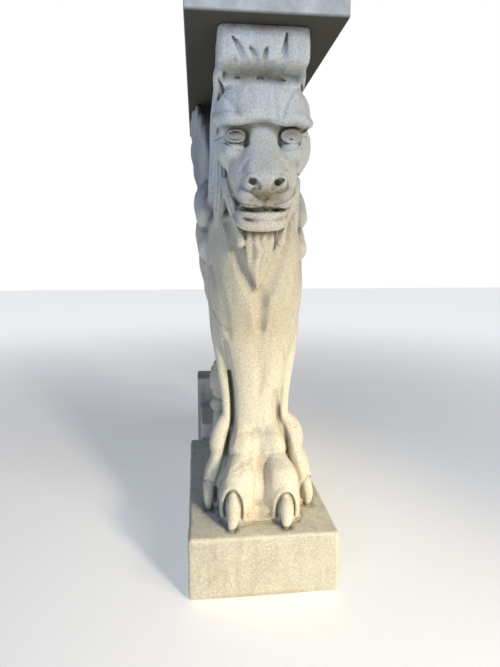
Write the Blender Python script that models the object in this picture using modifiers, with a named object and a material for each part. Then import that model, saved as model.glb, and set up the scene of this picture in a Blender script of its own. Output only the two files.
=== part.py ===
"""A cast-stone table support: a lion's head, breast and single clawed leg in one casting with its plinth
and the stepped pier behind it, a wing at each side, and a separate slab lying on the lion's crest.

The lion faces -Y, +X is to the right of someone who stands in front of it, and +Z is up. The origin is on
the ground, under the middle of the base and the slab.

The figure is drawn in millimetres, for a plinth 190 wide and 348 long and a figure 594 high: x across, y back
from the plinth's front edge and z up from the plinth's top. It stretches with those three real sizes.
"""

import math

import bmesh
import bpy
import numpy as np
from mathutils import Matrix, Vector

# Driving sizes, in metres
PLINTH_WIDTH = 0.190
PLINTH_LENGTH = 0.348
PLINTH_HEIGHT = 0.082
STEP_LENGTH = 0.121
STEP_WIDTH = 0.150
STEP_HEIGHT = 0.114
STEP_CLEARANCE = 0.003
PIER_LENGTH = 0.076
PIER_WIDTH = 0.162
PIER_HEIGHT = 0.171
FIGURE_HEIGHT = 0.594
SLAB_WIDTH = 0.178
SLAB_THICKNESS = 0.055
SLAB_OVERHANG = 0.005
ARRIS_RADIUS = 0.005
SLAB_ARRIS_RADIUS = 0.003
BED_GAP = 0.0003

# Sizes that follow from the driving ones
BASE_LENGTH = PLINTH_LENGTH + STEP_LENGTH + PIER_LENGTH
FRONT_Y = -BASE_LENGTH / 2
FIGURE_TOP_Z = PLINTH_HEIGHT + FIGURE_HEIGHT
SLAB_LENGTH = BASE_LENGTH + 2 * SLAB_OVERHANG

# The sizes that the figure is drawn for, and the metres of each drawn millimetre across, back and up
DRAWN_SIZE = np.array((190.0, 348.0, 594.0))
DRAWN_SCALE = np.array((PLINTH_WIDTH, PLINTH_LENGTH, FIGURE_HEIGHT)) / DRAWN_SIZE
DRAWN_ORIGIN = np.array((0.0, FRONT_Y, PLINTH_HEIGHT))
DRAWN_TOP = 600.0
EMBEDDED = 8.0
HEAD_SHIFT = 3.0
BOTH_SIDES = (-1, 1)

# How finely the figure's solid is cut
CLAY_VOXEL = 0.0028
SMOOTHING_STEPS = 5
FIGURE_TRIANGLES = 8600

STONE_COLOUR = (0.60, 0.55, 0.45, 1.0)
SLAB_COLOUR = (0.50, 0.51, 0.50, 1.0)
STONE_ROUGHNESS = 0.9


def smooth_path(points, radii, steps=4):
    """Points and radii read off a Catmull-Rom curve through the given ones, steps to a span."""
    rows = np.column_stack([np.array(points, float), np.array(radii, float)])
    rows = np.vstack([2 * rows[0] - rows[1], rows, 2 * rows[-1] - rows[-2]])
    made = []
    for i in range(1, len(rows) - 2):
        for t in np.arange(steps) / steps:
            a, b, c, d = rows[i - 1 : i + 3]
            made.append(
                0.5 * (2 * b + (c - a) * t + (2 * a - 5 * b + 4 * c - d) * t**2 + (3 * b - a - 3 * c + d) * t**3)
            )
    made.append(rows[-2])
    made = np.array(made)
    return made[:, :3], made[:, 3]


class Clay:
    """The figure's overlapping forms, gathered as points and faces before they are merged into one skin."""

    SIDES = 14

    def __init__(self):
        self.points, self.faces, self.count = [], [], 0
        unit = bmesh.new()
        bmesh.ops.create_uvsphere(unit, u_segments=24, v_segments=16, radius=1.0)
        self.unit_ball = np.array([v.co for v in unit.verts])
        self.unit_faces = [[v.index for v in face.verts] for face in unit.faces]
        unit.free()

    def add(self, points, faces):
        """Keeps a form whose points are in drawn millimetres."""
        self.points.append(np.asarray(points, float))
        self.faces += [[i + self.count for i in face] for face in faces]
        self.count += len(points)

    def ball(self, centre, radii, lean=0.0, turn=0.0):
        """An ellipsoid, leaned about the axis across the figure and turned about the upright one, in degrees."""
        turned = Matrix.Rotation(math.radians(turn), 3, "Z") @ Matrix.Rotation(math.radians(lean), 3, "X")
        self.add(self.unit_ball * np.array(radii) @ np.array(turned).T + np.array(centre), self.unit_faces)

    def rings(self, rings):
        """A closed skin over rings of equally many points."""
        n = len(rings[0])
        faces = [
            (a * n + k, a * n + (k + 1) % n, (a + 1) * n + (k + 1) % n, (a + 1) * n + k)
            for a in range(len(rings) - 1)
            for k in range(n)
        ]
        last = (len(rings) - 1) * n
        faces += [tuple(range(n))[::-1], tuple(range(last, last + n))]
        self.add(np.vstack(rings), faces)

    def stroke(self, points, radii, flat=1.0):
        """A round tapered form along a smooth path; flat squeezes its width across the figure."""
        path, thick = smooth_path(points, radii)
        angles = np.arange(self.SIDES) * math.tau / self.SIDES
        rings = []
        for i, place in enumerate(path):
            ahead = path[min(i + 1, len(path) - 1)] - path[max(i - 1, 0)]
            ahead = ahead / np.linalg.norm(ahead)
            guide = np.array((1, 0, 0)) if abs(ahead[0]) < 0.8 else np.array((0, 0, 1))
            side = guide - ahead * (guide @ ahead)
            side = side / np.linalg.norm(side)
            other = np.cross(ahead, side)
            ring = np.outer(np.cos(angles), side) + np.outer(np.sin(angles), other)
            rings.append(place + ring * thick[i] * np.array((flat, 1, 1)))
        self.rings(rings)
        for i in (0, -1):
            r = thick[i]
            self.ball(path[i], (r * flat, r, r))

    def trunk(self, sections):
        """A loft through level, slightly squared oval sections, each given as (z, half width, front y, back y)."""
        rows, backs = smooth_path([s[:3] for s in sections], [s[3] for s in sections])
        angles = np.arange(2 * self.SIDES) * math.tau / (2 * self.SIDES)
        across = np.sign(np.cos(angles)) * np.abs(np.cos(angles)) ** 0.8
        along = np.sign(np.sin(angles)) * np.abs(np.sin(angles)) ** 0.8
        rings = []
        for (z, half, front), back in zip(rows, backs):
            y = (front + back) / 2 + (back - front) / 2 * along
            rings.append(np.column_stack([half * across, y, np.full(len(angles), z)]))
        self.rings(rings)

    def block(self, low, high):
        """A plain box between two drawn corners."""
        low, high = np.array(low, float), np.array(high, float)
        flat = [(low[0], low[1]), (high[0], low[1]), (high[0], high[1]), (low[0], high[1])]
        self.rings([np.array([(x, y, z) for x, y in flat]) for z in (low[2], high[2])])


def leg_and_breast(clay):
    """A flat-fronted leg between two sinews widens upwards into the barrel of the breast and the neck."""
    clay.trunk(
        [
            (40, 34, 92, 150),
            (100, 35, 84, 152),
            (150, 36, 82, 155),
            (175, 40, 80, 158),
            (200, 46, 77, 165),
            (235, 56, 72, 182),
            (265, 62, 65, 202),
            (300, 65, 57, 225),
            (340, 66, 53, 250),
            (380, 62, 60, 270),
            (420, 56, 76, 290),
            (470, 52, 86, 305),
            (530, 50, 90, 315),
            (592, 50, 82, 330),
        ]
    )
    clay.ball((0, 104, 300), (57, 50, 62))
    for side in BOTH_SIDES:
        clay.stroke(
            [
                (side * 50, 130, 290),
                (side * 49, 120, 240),
                (side * 44, 113, 195),
                (side * 40, 110, 150),
                (side * 39, 110, 116),
                (side * 45, 110, 96),
            ],
            [14, 12, 9, 8, 8, 10],
        )


def paw(clay):
    """Two long toes in front and one at each side, each with a bent knuckle and a hooded claw."""
    for side, lift in ((-1, 0), (1, 10)):
        clay.stroke(
            [
                (side * 14, 106, 112),
                (side * 16, 100, 92),
                (side * 20, 84, 74),
                (side * 24, 68, 54),
                (side * 27, 54, 38),
                (side * 28, 49, 14),
                (side * 28, 48, 0),
            ],
            [17, 20, 24, 23, 27, 26, 24],
        )
        clay.stroke([(side * 32, 36, 44), (side * 33, 27, 30), (side * 34, 25, 14)], [8, 10, 9])
        clay.stroke([(side * 34, 22, 24), (side * 35, 16, 9), (side * 35, 18, -4)], [6.5, 6.5, 4])
        clay.stroke(
            [
                (side * 43, 111, 112 + lift),
                (side * 51, 108, 88 + lift),
                (side * 57, 102, 60 + lift / 2),
                (side * 61, 97, 34 + lift / 2),
                (side * 61, 95, 4),
            ],
            [10, 15, 16, 17, 15],
        )
        clay.stroke([(side * 67, 86, 32), (side * 68, 79, 17), (side * 67, 79, -3)], [7, 6.5, 4])
    clay.ball((0, 96, 30), (58, 54, 48))
    clay.ball((0, 54, 6), (30, 22, 16))


def head(clay):
    """The skull with its heavy brow, the broad nose and muzzle, the lids and the jaw."""
    x = HEAD_SHIFT
    clay.ball((x, 96, 492), (52, 60, 60))
    clay.ball((x, 70, 521), (58, 45, 36))
    clay.stroke(
        [(x - 48, 58, 506), (x - 28, 36, 504), (x, 37, 502), (x + 28, 36, 504), (x + 48, 58, 506)],
        [7, 7, 8, 7, 7],
    )
    for side in BOTH_SIDES:
        clay.ball((x + side * 39, 76, 468), (18, 32, 24))
        clay.ball((x + side * 33, 62, 448), (20, 28, 24))
        clay.ball((x + side * 32, 48, 485), (12, 12, 10))
        for rise in (7.5, -7.5):
            clay.stroke(
                [
                    (x + side * 19, 46, 484),
                    (x + side * 27, 37.5, 485 + rise),
                    (x + side * 37, 38, 485 + rise),
                    (x + side * 45, 49, 485),
                ],
                [2.6, 3.4, 3.4, 2.6],
            )
        clay.ball((x + side * 20, 46, 432), (24, 36, 30))
        clay.ball((x + side * 14, 30, 420), (15, 19, 16))
    clay.stroke([(x, 58, 502), (x * 0.7, 50, 478), (x * 0.3, 35, 448)], [18, 20, 22], flat=0.95)
    clay.ball((0, 29, 431), (20, 22, 15))
    clay.ball((0, 58, 398), (32, 34, 15))
    clay.stroke([(-27, 60, 396), (-12, 33, 388), (12, 33, 388), (29, 60, 396)], [6, 6, 6, 6])
    clay.stroke([(-33, 68, 392), (-20, 40, 377), (20, 40, 377), (35, 68, 392)], [8, 8, 8, 8])
    clay.ball((0, 84, 400), (40, 38, 34))


def beard(clay):
    """A pointed beard of wavy locks under the chin, with a rounded tuft at each side."""
    clay.ball((1, 62, 352), (19, 18, 32))
    for x, sway, tip in ((-9, -5, 318), (0, -6, 303), (10, -2, 326)):
        clay.stroke(
            [(x, 52, 374), (x + sway * 0.6, 47, 356), (x + sway * 0.2, 47, 338), (x * 0.4 + sway, 50, tip)],
            [7.5, 7.5, 6.5, 3],
        )
    for side in BOTH_SIDES:
        clay.stroke(
            [(side * 40, 76, 404), (side * 34, 62, 388), (side * 29, 55, 372), (side * 27, 54, 362)],
            [7, 6, 6, 7],
        )


def mane(clay):
    """Long overlapping locks fall from the temples behind the cheeks to the breast and the wings."""
    clay.ball((0, 124, 500), (53, 66, 92))
    for side in BOTH_SIDES:
        for path, thick in (
            (((44, 60, 556), (48, 84, 538), (49, 96, 500), (51, 98, 450), (55, 96, 405), (55, 88, 350)), 14),
            (((44, 96, 562), (48, 108, 520), (51, 118, 470), (55, 122, 425), (58, 118, 370)), 17),
            (((42, 128, 566), (46, 142, 520), (49, 154, 475), (53, 160, 430)), 20),
            (((46, 86, 506), (51, 90, 460), (51, 84, 418), (45, 73, 380)), 11),
            (((40, 76, 440), (43, 75, 416), (39, 66, 394), (33, 59, 374)), 9),
        ):
            radii = [thick] * (len(path) - 1) + [thick / 2]
            clay.stroke([(side * px, py, pz) for px, py, pz in path], radii, flat=0.62)


def crest(clay):
    """The mane swept up over the forehead, with a square top that carries the slab."""
    clay.block((-50, 40, 540), (50, 470, DRAWN_TOP))
    clay.block((-51, 22, 562), (51, 60, DRAWN_TOP))
    clay.stroke([(-39, 31, 561), (0, 27, 562), (39, 31, 561)], [13, 14, 13])
    for side in BOTH_SIDES:
        lock = ((43, 32, 592), (42, 32, 572), (45, 36, 556), (51, 52, 543), (52, 74, 534))
        clay.stroke([(side * px, py, pz) for px, py, pz in lock], [10, 11, 11, 10, 8])


def wings(clay):
    """A fan of long overlapping feathers on each side, from behind the shoulder up and back to the slab."""
    root = np.array((54.0, 216.0, 452.0))
    tips = (
        (62, 262, 604),
        (68, 302, 606),
        (73, 342, 604),
        (78, 380, 594),
        (81, 410, 570),
        (81, 426, 538),
        (77, 430, 504),
        (70, 424, 470),
    )
    for side in BOTH_SIDES:
        mirror = np.array((side, 1, 1))
        for n, tip in enumerate(tips):
            start = root + np.array((0, 5 * n, -6 * n))
            middle = start * 0.45 + np.array(tip) * 0.55 + np.array((2, -6, 6))
            clay.stroke([start * mirror, middle * mirror, np.array(tip) * mirror], [12, 22, 23], flat=0.28)
        for path, radii in (
            (((66, 154, 398), (64, 194, 424), (59, 236, 448)), (17, 22, 14)),
            (((63, 148, 354), (62, 194, 384), (57, 240, 412)), (18, 22, 14)),
            (((57, 148, 308), (58, 194, 342), (53, 242, 374)), (16, 22, 14)),
            (((48, 160, 268), (51, 204, 302), (46, 250, 336)), (15, 22, 12)),
        ):
            clay.stroke([np.array(p) * mirror for p in path], radii, flat=0.85)


def rear_scroll(clay):
    """The body narrows behind the wings to an S-shaped haunch that comes down onto the plinth's back."""
    clay.block((-44, 190, 500), (44, 440, 590))
    clay.block((-26, 130, -EMBEDDED), (26, 344, 540))
    clay.ball((0, 292, 440), (45, 150, 118), lean=12)
    clay.trunk(
        [
            (-EMBEDDED, 36, 296, 345),
            (40, 37, 300, 345),
            (80, 40, 294, 350),
            (125, 46, 288, 366),
            (180, 42, 306, 388),
            (240, 40, 326, 408),
            (310, 43, 336, 430),
            (400, 44, 330, 442),
            (520, 44, 310, 446),
        ]
    )
    for side in BOTH_SIDES:
        clay.ball((side * 38, 322, 122), (21, 38, 40))
        clay.ball((side * 45, 310, 80), (14, 15, 14))
        for n in range(3):
            x = 30 + 8 * n
            leaf = ((x, 318 - 3 * n, 66), (x + 3, 304, 34), (x + 1, 310, -4))
            clay.stroke([(side * px, py, pz) for px, py, pz in leaf], [6, 6, 5])


def gather(name, clay, into):
    """The gathered forms as one mesh object, at the figure's real size and place."""
    mesh = bpy.data.meshes.new(name)
    places = np.vstack(clay.points) * DRAWN_SCALE + DRAWN_ORIGIN
    mesh.from_pydata(places.tolist(), [], clay.faces)
    made = bpy.data.objects.new(name, mesh)
    into.objects.link(made)
    return made


def applied(thing):
    """The object's mesh becomes what its modifiers make of it."""
    graph = bpy.context.evaluated_depsgraph_get()
    mesh = bpy.data.meshes.new_from_object(thing.evaluated_get(graph))
    thing.modifiers.clear()
    thing.data = mesh


def merged(thing):
    """One skin round all the forms, with its creases softened as a mould leaves them."""
    remesh = thing.modifiers.new("One skin", "REMESH")
    remesh.mode = "VOXEL"
    remesh.voxel_size = CLAY_VOXEL
    smooth = thing.modifiers.new("Softened", "SMOOTH")
    smooth.factor = 0.5
    smooth.iterations = SMOOTHING_STEPS
    applied(thing)


def press(mesh, path, width, depth):
    """Pushes the skin in along a drawn path, to a groove of that drawn width and depth."""
    count = len(mesh.vertices)
    places, normals = np.empty(count * 3), np.empty(count * 3)
    mesh.vertices.foreach_get("co", places)
    mesh.vertices.foreach_get("normal", normals)
    drawn = (places.reshape(-1, 3) - DRAWN_ORIGIN) / DRAWN_SCALE
    line = smooth_path(path, [width] * len(path))[0]
    nearest = np.full(count, np.inf)
    for a, b in zip(line, line[1:]):
        along = b - a
        share = np.clip((drawn - a) @ along / (along @ along), 0, 1)
        nearest = np.minimum(nearest, np.linalg.norm(drawn - a - share[:, None] * along, axis=1))
    fall = np.clip(1 - (nearest / width) ** 2, 0, 1) ** 2
    drawn -= normals.reshape(-1, 3) * (fall * depth)[:, None]
    mesh.vertices.foreach_set("co", (drawn * DRAWN_SCALE + DRAWN_ORIGIN).astype(np.float32).ravel())
    mesh.update()


def carve(thing):
    """The carving that is pressed in: the clefts of the toes and leg, the locks of the crest and the face."""
    mesh = thing.data
    x = HEAD_SHIFT
    press(mesh, [(0, 84, 100), (0, 60, 68), (0, 36, 38), (0, 26, 8)], 5, 6)
    press(mesh, [(-26, 44, 398), (-12, 22, 397), (12, 22, 397), (28, 44, 398)], 5, 8)
    press(mesh, [(0, 8, 416), (0, 18, 402)], 4, 4)
    for top, foot in ((-31, -23), (-14, -12), (2, 1), (30, 20)):
        press(mesh, [(top, 20, 584), (foot, 16, 556)], 5, 5)
    for side in BOTH_SIDES:
        press(mesh, [(side * 13, 8, 428), (side * 17, 13, 424)], 5.5, 7)
        press(
            mesh,
            [
                (side * 41, 98, 236),
                (side * 35, 92, 195),
                (side * 31, 90, 150),
                (side * 30, 90, 120),
                (side * 36, 92, 96),
                (side * 44, 78, 64),
                (side * 51, 66, 30),
            ],
            6,
            8,
        )
        press(mesh, [(x + side * 18, 46, 484), (x + side * 21, 42, 474)], 6, 5)


def stone(name, colour):
    """Pale dry-cast stone, all of it matt."""
    material = bpy.data.materials.new(name)
    material.use_nodes = True
    shader = material.node_tree.nodes["Principled BSDF"]
    shader.inputs["Base Color"].default_value = colour
    shader.inputs["Roughness"].default_value = STONE_ROUGHNESS
    shader.inputs["Metallic"].default_value = 0.0
    return material


def block_between(name, low, high, into):
    """A box between two corners in metres."""
    bpy.ops.mesh.primitive_cube_add(size=1.0)
    block = bpy.context.active_object
    block.name = name
    low, high = Vector(low), Vector(high)
    block.data.transform(Matrix.Translation((low + high) / 2) @ Matrix.Diagonal((*(high - low), 1.0)))
    for old in list(block.users_collection):
        old.objects.unlink(block)
    into.objects.link(block)
    return block


def worn(block, radius):
    """Rounds the box's arrises, as a mould and long use leave them."""
    bevel = block.modifiers.new("Worn arrises", "BEVEL")
    bevel.width = radius
    bevel.segments = 2


def joined(thing, other):
    """Joins other to thing, and keeps other out of the render."""
    modifier = thing.modifiers.new("Joined", "BOOLEAN")
    modifier.operation = "UNION"
    modifier.object = other
    modifier.solver = "EXACT"
    other.hide_render = True
    other.display_type = "WIRE"


def cut_level(thing, height):
    """Cuts off what stands above a height and closes the cut with a flat face."""
    shape = bmesh.new()
    shape.from_mesh(thing.data)
    cut = bmesh.ops.bisect_plane(
        shape,
        geom=shape.verts[:] + shape.edges[:] + shape.faces[:],
        plane_co=(0, 0, height),
        plane_no=(0, 0, 1),
        clear_outer=True,
    )
    rim = [piece for piece in cut["geom_cut"] if isinstance(piece, bmesh.types.BMEdge)]
    bmesh.ops.holes_fill(shape, edges=rim, sides=len(rim))
    bmesh.ops.triangulate(shape, faces=[face for face in shape.faces if len(face.verts) > 4])
    shape.to_mesh(thing.data)
    shape.free()


def lion_and_plinth(parts, helpers):
    """The whole casting: the figure on its plinth and rear pier, cut flat where the slab lies."""
    clay = Clay()
    for region in (leg_and_breast, paw, head, beard, mane, crest, wings, rear_scroll):
        region(clay)
    casting = gather("lion_and_plinth", clay, parts)
    merged(casting)
    carve(casting)
    decimate = casting.modifiers.new("Faceted", "DECIMATE")
    decimate.ratio = FIGURE_TRIANGLES / (2 * len(casting.data.polygons))
    applied(casting)
    cut_level(casting, FIGURE_TOP_Z - BED_GAP)
    step_y = FRONT_Y + PLINTH_LENGTH
    pier_y = step_y + STEP_LENGTH
    buried = 2 * ARRIS_RADIUS
    for name, width, start, end, foot, top in (
        ("plinth", PLINTH_WIDTH, FRONT_Y, step_y, 0, PLINTH_HEIGHT),
        ("pier", PIER_WIDTH, pier_y, pier_y + PIER_LENGTH, 0, PIER_HEIGHT),
        ("step", STEP_WIDTH, step_y - buried, pier_y + buried, STEP_CLEARANCE, STEP_HEIGHT),
    ):
        block = block_between(name, (-width / 2, start, foot), (width / 2, end, top), helpers)
        worn(block, ARRIS_RADIUS)
        joined(casting, block)
    casting.data.materials.append(stone("buff cast stone", STONE_COLOUR))


def top_slab(parts):
    """The slab that lies on the lion's crest, cut square at the back."""
    slab = block_between(
        "top_slab",
        (-SLAB_WIDTH / 2, -SLAB_LENGTH / 2, FIGURE_TOP_Z),
        (SLAB_WIDTH / 2, SLAB_LENGTH / 2, FIGURE_TOP_Z + SLAB_THICKNESS),
        parts,
    )
    worn(slab, SLAB_ARRIS_RADIUS)
    slab.data.materials.append(stone("grey cast stone", SLAB_COLOUR))


def main():
    for old in list(bpy.data.objects):
        bpy.data.objects.remove(old)
    parts = bpy.data.collections.new("Lion support")
    helpers = bpy.data.collections.new("Helpers")
    for collection in (parts, helpers):
        bpy.context.scene.collection.children.link(collection)
    lion_and_plinth(parts, helpers)
    top_slab(parts)


main()
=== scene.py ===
"""The looks of a cast-stone lion table support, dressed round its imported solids.

The figure is worked out as a field of signed distances on a grid: every limb, lock and feather is a form with
a formula for how far a place lies from its skin, and the forms are blended, cut and engraved into one another
as whole arrays. The skin of that field is the casting. It is drawn in millimetres: x across, y back from the
plinth's front edge, z up from the plinth's top.
"""

import logging
import math
from collections.abc import Sequence
from dataclasses import dataclass, field
from enum import Enum

import bpy
import numpy as np
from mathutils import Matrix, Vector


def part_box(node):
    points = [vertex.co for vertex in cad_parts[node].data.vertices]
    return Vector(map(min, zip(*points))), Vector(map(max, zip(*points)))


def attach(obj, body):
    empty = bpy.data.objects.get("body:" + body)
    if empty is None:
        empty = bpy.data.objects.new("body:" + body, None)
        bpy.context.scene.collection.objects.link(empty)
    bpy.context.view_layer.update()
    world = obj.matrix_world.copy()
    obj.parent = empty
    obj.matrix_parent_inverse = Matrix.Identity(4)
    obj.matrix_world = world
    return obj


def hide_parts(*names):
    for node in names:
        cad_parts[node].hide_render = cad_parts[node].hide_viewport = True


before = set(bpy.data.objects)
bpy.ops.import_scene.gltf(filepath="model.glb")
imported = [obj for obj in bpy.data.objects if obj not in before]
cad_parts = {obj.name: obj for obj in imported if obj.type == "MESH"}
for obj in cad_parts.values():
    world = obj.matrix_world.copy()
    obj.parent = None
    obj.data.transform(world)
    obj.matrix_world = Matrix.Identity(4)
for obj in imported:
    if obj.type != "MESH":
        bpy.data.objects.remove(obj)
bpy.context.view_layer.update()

LOG = logging.getLogger("lion_support")

CASTING_NODE = "lion_and_plinth"
SLAB_NODE = "top_slab"
BODY = "root"

MM = 0.001
PLINTH_HEIGHT = 82.0
EMBEDDED = 8.0
FAR = 40.0
BOTH_SIDES = (-1, 1)
LOW, HIGH = (np.array(corner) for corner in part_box(CASTING_NODE))

Numbers = Sequence[float] | np.ndarray
Rows = Sequence[Sequence[float]] | np.ndarray
Value = float | tuple | bpy.types.NodeSocket


class Facing(Enum):
    """The way from which a carved line is drawn: from the front, or from the flanks."""

    FRONT = 0
    FLANK = 1


def carried(points: Rows, steps: int = 5) -> np.ndarray:
    """Rows read off a Catmull-Rom curve through the given rows.

    Args:
        points: rows of numbers, at least two.
        steps: rows made for each span.

    Returns:
        The rows along the curve, the last one included.
    """
    rows = np.array(points, float)
    rows = np.vstack([2 * rows[0] - rows[1], rows, 2 * rows[-1] - rows[-2]])
    share = np.arange(steps) / steps
    a, b, c, d = (rows[i : len(rows) - 3 + i, None] for i in range(4))
    t = share[None, :, None]
    curve = 0.5 * (2 * b + (c - a) * t + (2 * a - 5 * b + 4 * c - d) * t**2 + (3 * b - a - 3 * c + d) * t**3)
    return np.vstack([curve.reshape(-1, rows.shape[1]), rows[-2]])


def mirrored(points: Rows, side: int) -> list:
    """The drawn points with x turned to the given side.

    Args:
        points: rows of x, y, z.
        side: 1 to keep x, -1 to turn it over.

    Returns:
        The rows.
    """
    return [(side * p[0], *p[1:]) for p in points]


@dataclass(frozen=True)
class Patch:
    """A box of the grid: its slices and the grid's x, y and z there, shaped to broadcast."""

    part: tuple
    x: np.ndarray
    y: np.ndarray
    z: np.ndarray


@dataclass(frozen=True)
class Ball:
    """An ellipsoid, leaned about the axis across the figure; its distance is k (k - 1) / |gradient of k|."""

    centre: tuple
    radii: tuple
    lean: float = 0.0
    turn: float = 0.0

    def reach(self) -> tuple:
        """The form's lowest and highest corners."""
        most = max(self.radii)
        return np.array(self.centre) - most, np.array(self.centre) + most

    def distance(self, grid: "StoneField", patch: Patch) -> np.ndarray:
        """How far each place of the patch lies outside the form.

        Args:
            grid: the field's grid.
            patch: the part of it that is asked for.

        Returns:
            The distances, negative inside.
        """
        x, y, z = (axis - c for axis, c in zip((patch.x, patch.y, patch.z), self.centre))
        cos, sin = math.cos(math.radians(self.lean)), math.sin(math.radians(self.lean))
        y, z = y * cos + z * sin, z * cos - y * sin
        cos, sin = math.cos(math.radians(self.turn)), math.sin(math.radians(self.turn))
        x, y = x * cos + y * sin, y * cos - x * sin
        a, b, c = self.radii
        k = np.sqrt((x / a) ** 2 + (y / b) ** 2 + (z / c) ** 2) + 1e-6
        slope = np.sqrt((x / a**2) ** 2 + (y / b**2) ** 2 + (z / c**2) ** 2) + 1e-6
        return k * (k - 1) / slope


@dataclass(frozen=True)
class Block:
    """A box with rounded edges: the distance to a smaller box, less the radius."""

    low: tuple
    high: tuple
    radius: float = 3.0

    def reach(self) -> tuple:
        """The form's lowest and highest corners."""
        return np.array(self.low, float), np.array(self.high, float)

    def distance(self, grid: "StoneField", patch: Patch) -> np.ndarray:
        """How far each place of the patch lies outside the form.

        Args:
            grid: the field's grid.
            patch: the part of it that is asked for.

        Returns:
            The distances, negative inside.
        """
        out, inside = 0.0, -1e9
        for axis, lo, hi in zip((patch.x, patch.y, patch.z), self.low, self.high):
            q = np.abs(axis - (lo + hi) / 2) - (hi - lo) / 2 + self.radius
            out = out + np.maximum(q, 0) ** 2
            inside = np.maximum(inside, q)
        return np.sqrt(out) + np.minimum(inside, 0) - self.radius


@dataclass(frozen=True)
class Trunk:
    """A loft through level ovals given as (z, half width, front y, back y); squareness 2 is an ellipse."""

    sections: tuple
    squareness: float = 2.5
    middle: float = 0.0

    def rows(self) -> np.ndarray:
        """The sections read off a smooth curve."""
        return carried(self.sections, 6)

    def reach(self) -> tuple:
        """The form's lowest and highest corners.

        Returns:
            The two corners.
        """
        rows = self.rows()
        (top, half, _, back), (bottom, _, front, _) = rows.max(0), rows.min(0)
        return np.array((self.middle - half, front, bottom)), np.array((self.middle + half, back, top))

    def distance(self, grid: "StoneField", patch: Patch) -> np.ndarray:
        """How far each place of the patch lies outside the form.

        Args:
            grid: the field's grid.
            patch: the part of it that is asked for.

        Returns:
            The distances, negative inside.
        """
        rows = self.rows()
        rows = rows[np.argsort(rows[:, 0])]
        half, front, back = (np.interp(patch.z, rows[:, 0], rows[:, i]) for i in (1, 2, 3))
        n = self.squareness
        u = np.abs(patch.x - self.middle) / half
        v = np.abs(patch.y - (front + back) / 2) * 2 / (back - front)
        k = (u**n + v**n + 1e-9) ** (1 / n)
        slope = np.sqrt((u ** (n - 1) / half) ** 2 + (v ** (n - 1) * 2 / (back - front)) ** 2) * k ** (1 - n)
        level = np.maximum(rows[0, 0] - patch.z, patch.z - rows[-1, 0])
        return np.maximum((k - 1) / (slope + 1e-6), level)


@dataclass(frozen=True)
class Stroke:
    """A round tapered form along a smooth path; flat squeezes it across the figure."""

    points: tuple
    radii: tuple
    flat: float = 1.0
    steps: int = 5

    def rows(self) -> np.ndarray:
        """Rows of x, y, z and radius along the path."""
        path = [np.array(self.points, float), np.array(self.radii, float)]
        return carried(np.column_stack(path), self.steps)

    def reach(self) -> tuple:
        """The form's lowest and highest corners."""
        rows = self.rows()
        return (rows[:, :3] - rows[:, 3:]).min(0), (rows[:, :3] + rows[:, 3:]).max(0)

    def distance(self, grid: "StoneField", patch: Patch) -> np.ndarray:
        """How far each place of the patch lies outside the form.

        Args:
            grid: the field's grid.
            patch: the part of it that is asked for.

        Returns:
            The distances, negative inside.
        """
        rows = self.rows()
        near = np.full([s.stop - s.start for s in patch.part], FAR, np.float32)
        squeeze = np.array((self.flat, 1, 1))
        margin = 16.0
        for a, b in zip(rows, rows[1:]):
            thick = max(a[3], b[3]) + margin
            low, high = np.minimum(a, b)[:3] - thick, np.maximum(a, b)[:3] + thick
            small = grid.patch(low, high, patch)
            start = a[:3] / squeeze
            along = b[:3] / squeeze - start
            offset = [axis / q - s for axis, q, s in zip((small.x, small.y, small.z), squeeze, start)]
            length = float(along @ along) + 1e-9
            share = sum(o * d for o, d in zip(offset, along)) / length
            share = np.clip(share, 0, 1)
            gap = np.sqrt(sum((o - share * d) ** 2 for o, d in zip(offset, along)))
            found = (gap - a[3] - (b[3] - a[3]) * share) * (self.flat if self.flat < 1 else 1.0)
            local = tuple(slice(s.start - p.start, s.stop - p.start) for s, p in zip(small.part, patch.part))
            near[local] = np.minimum(near[local], found)
        return near


Form = Ball | Block | Trunk | Stroke


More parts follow.
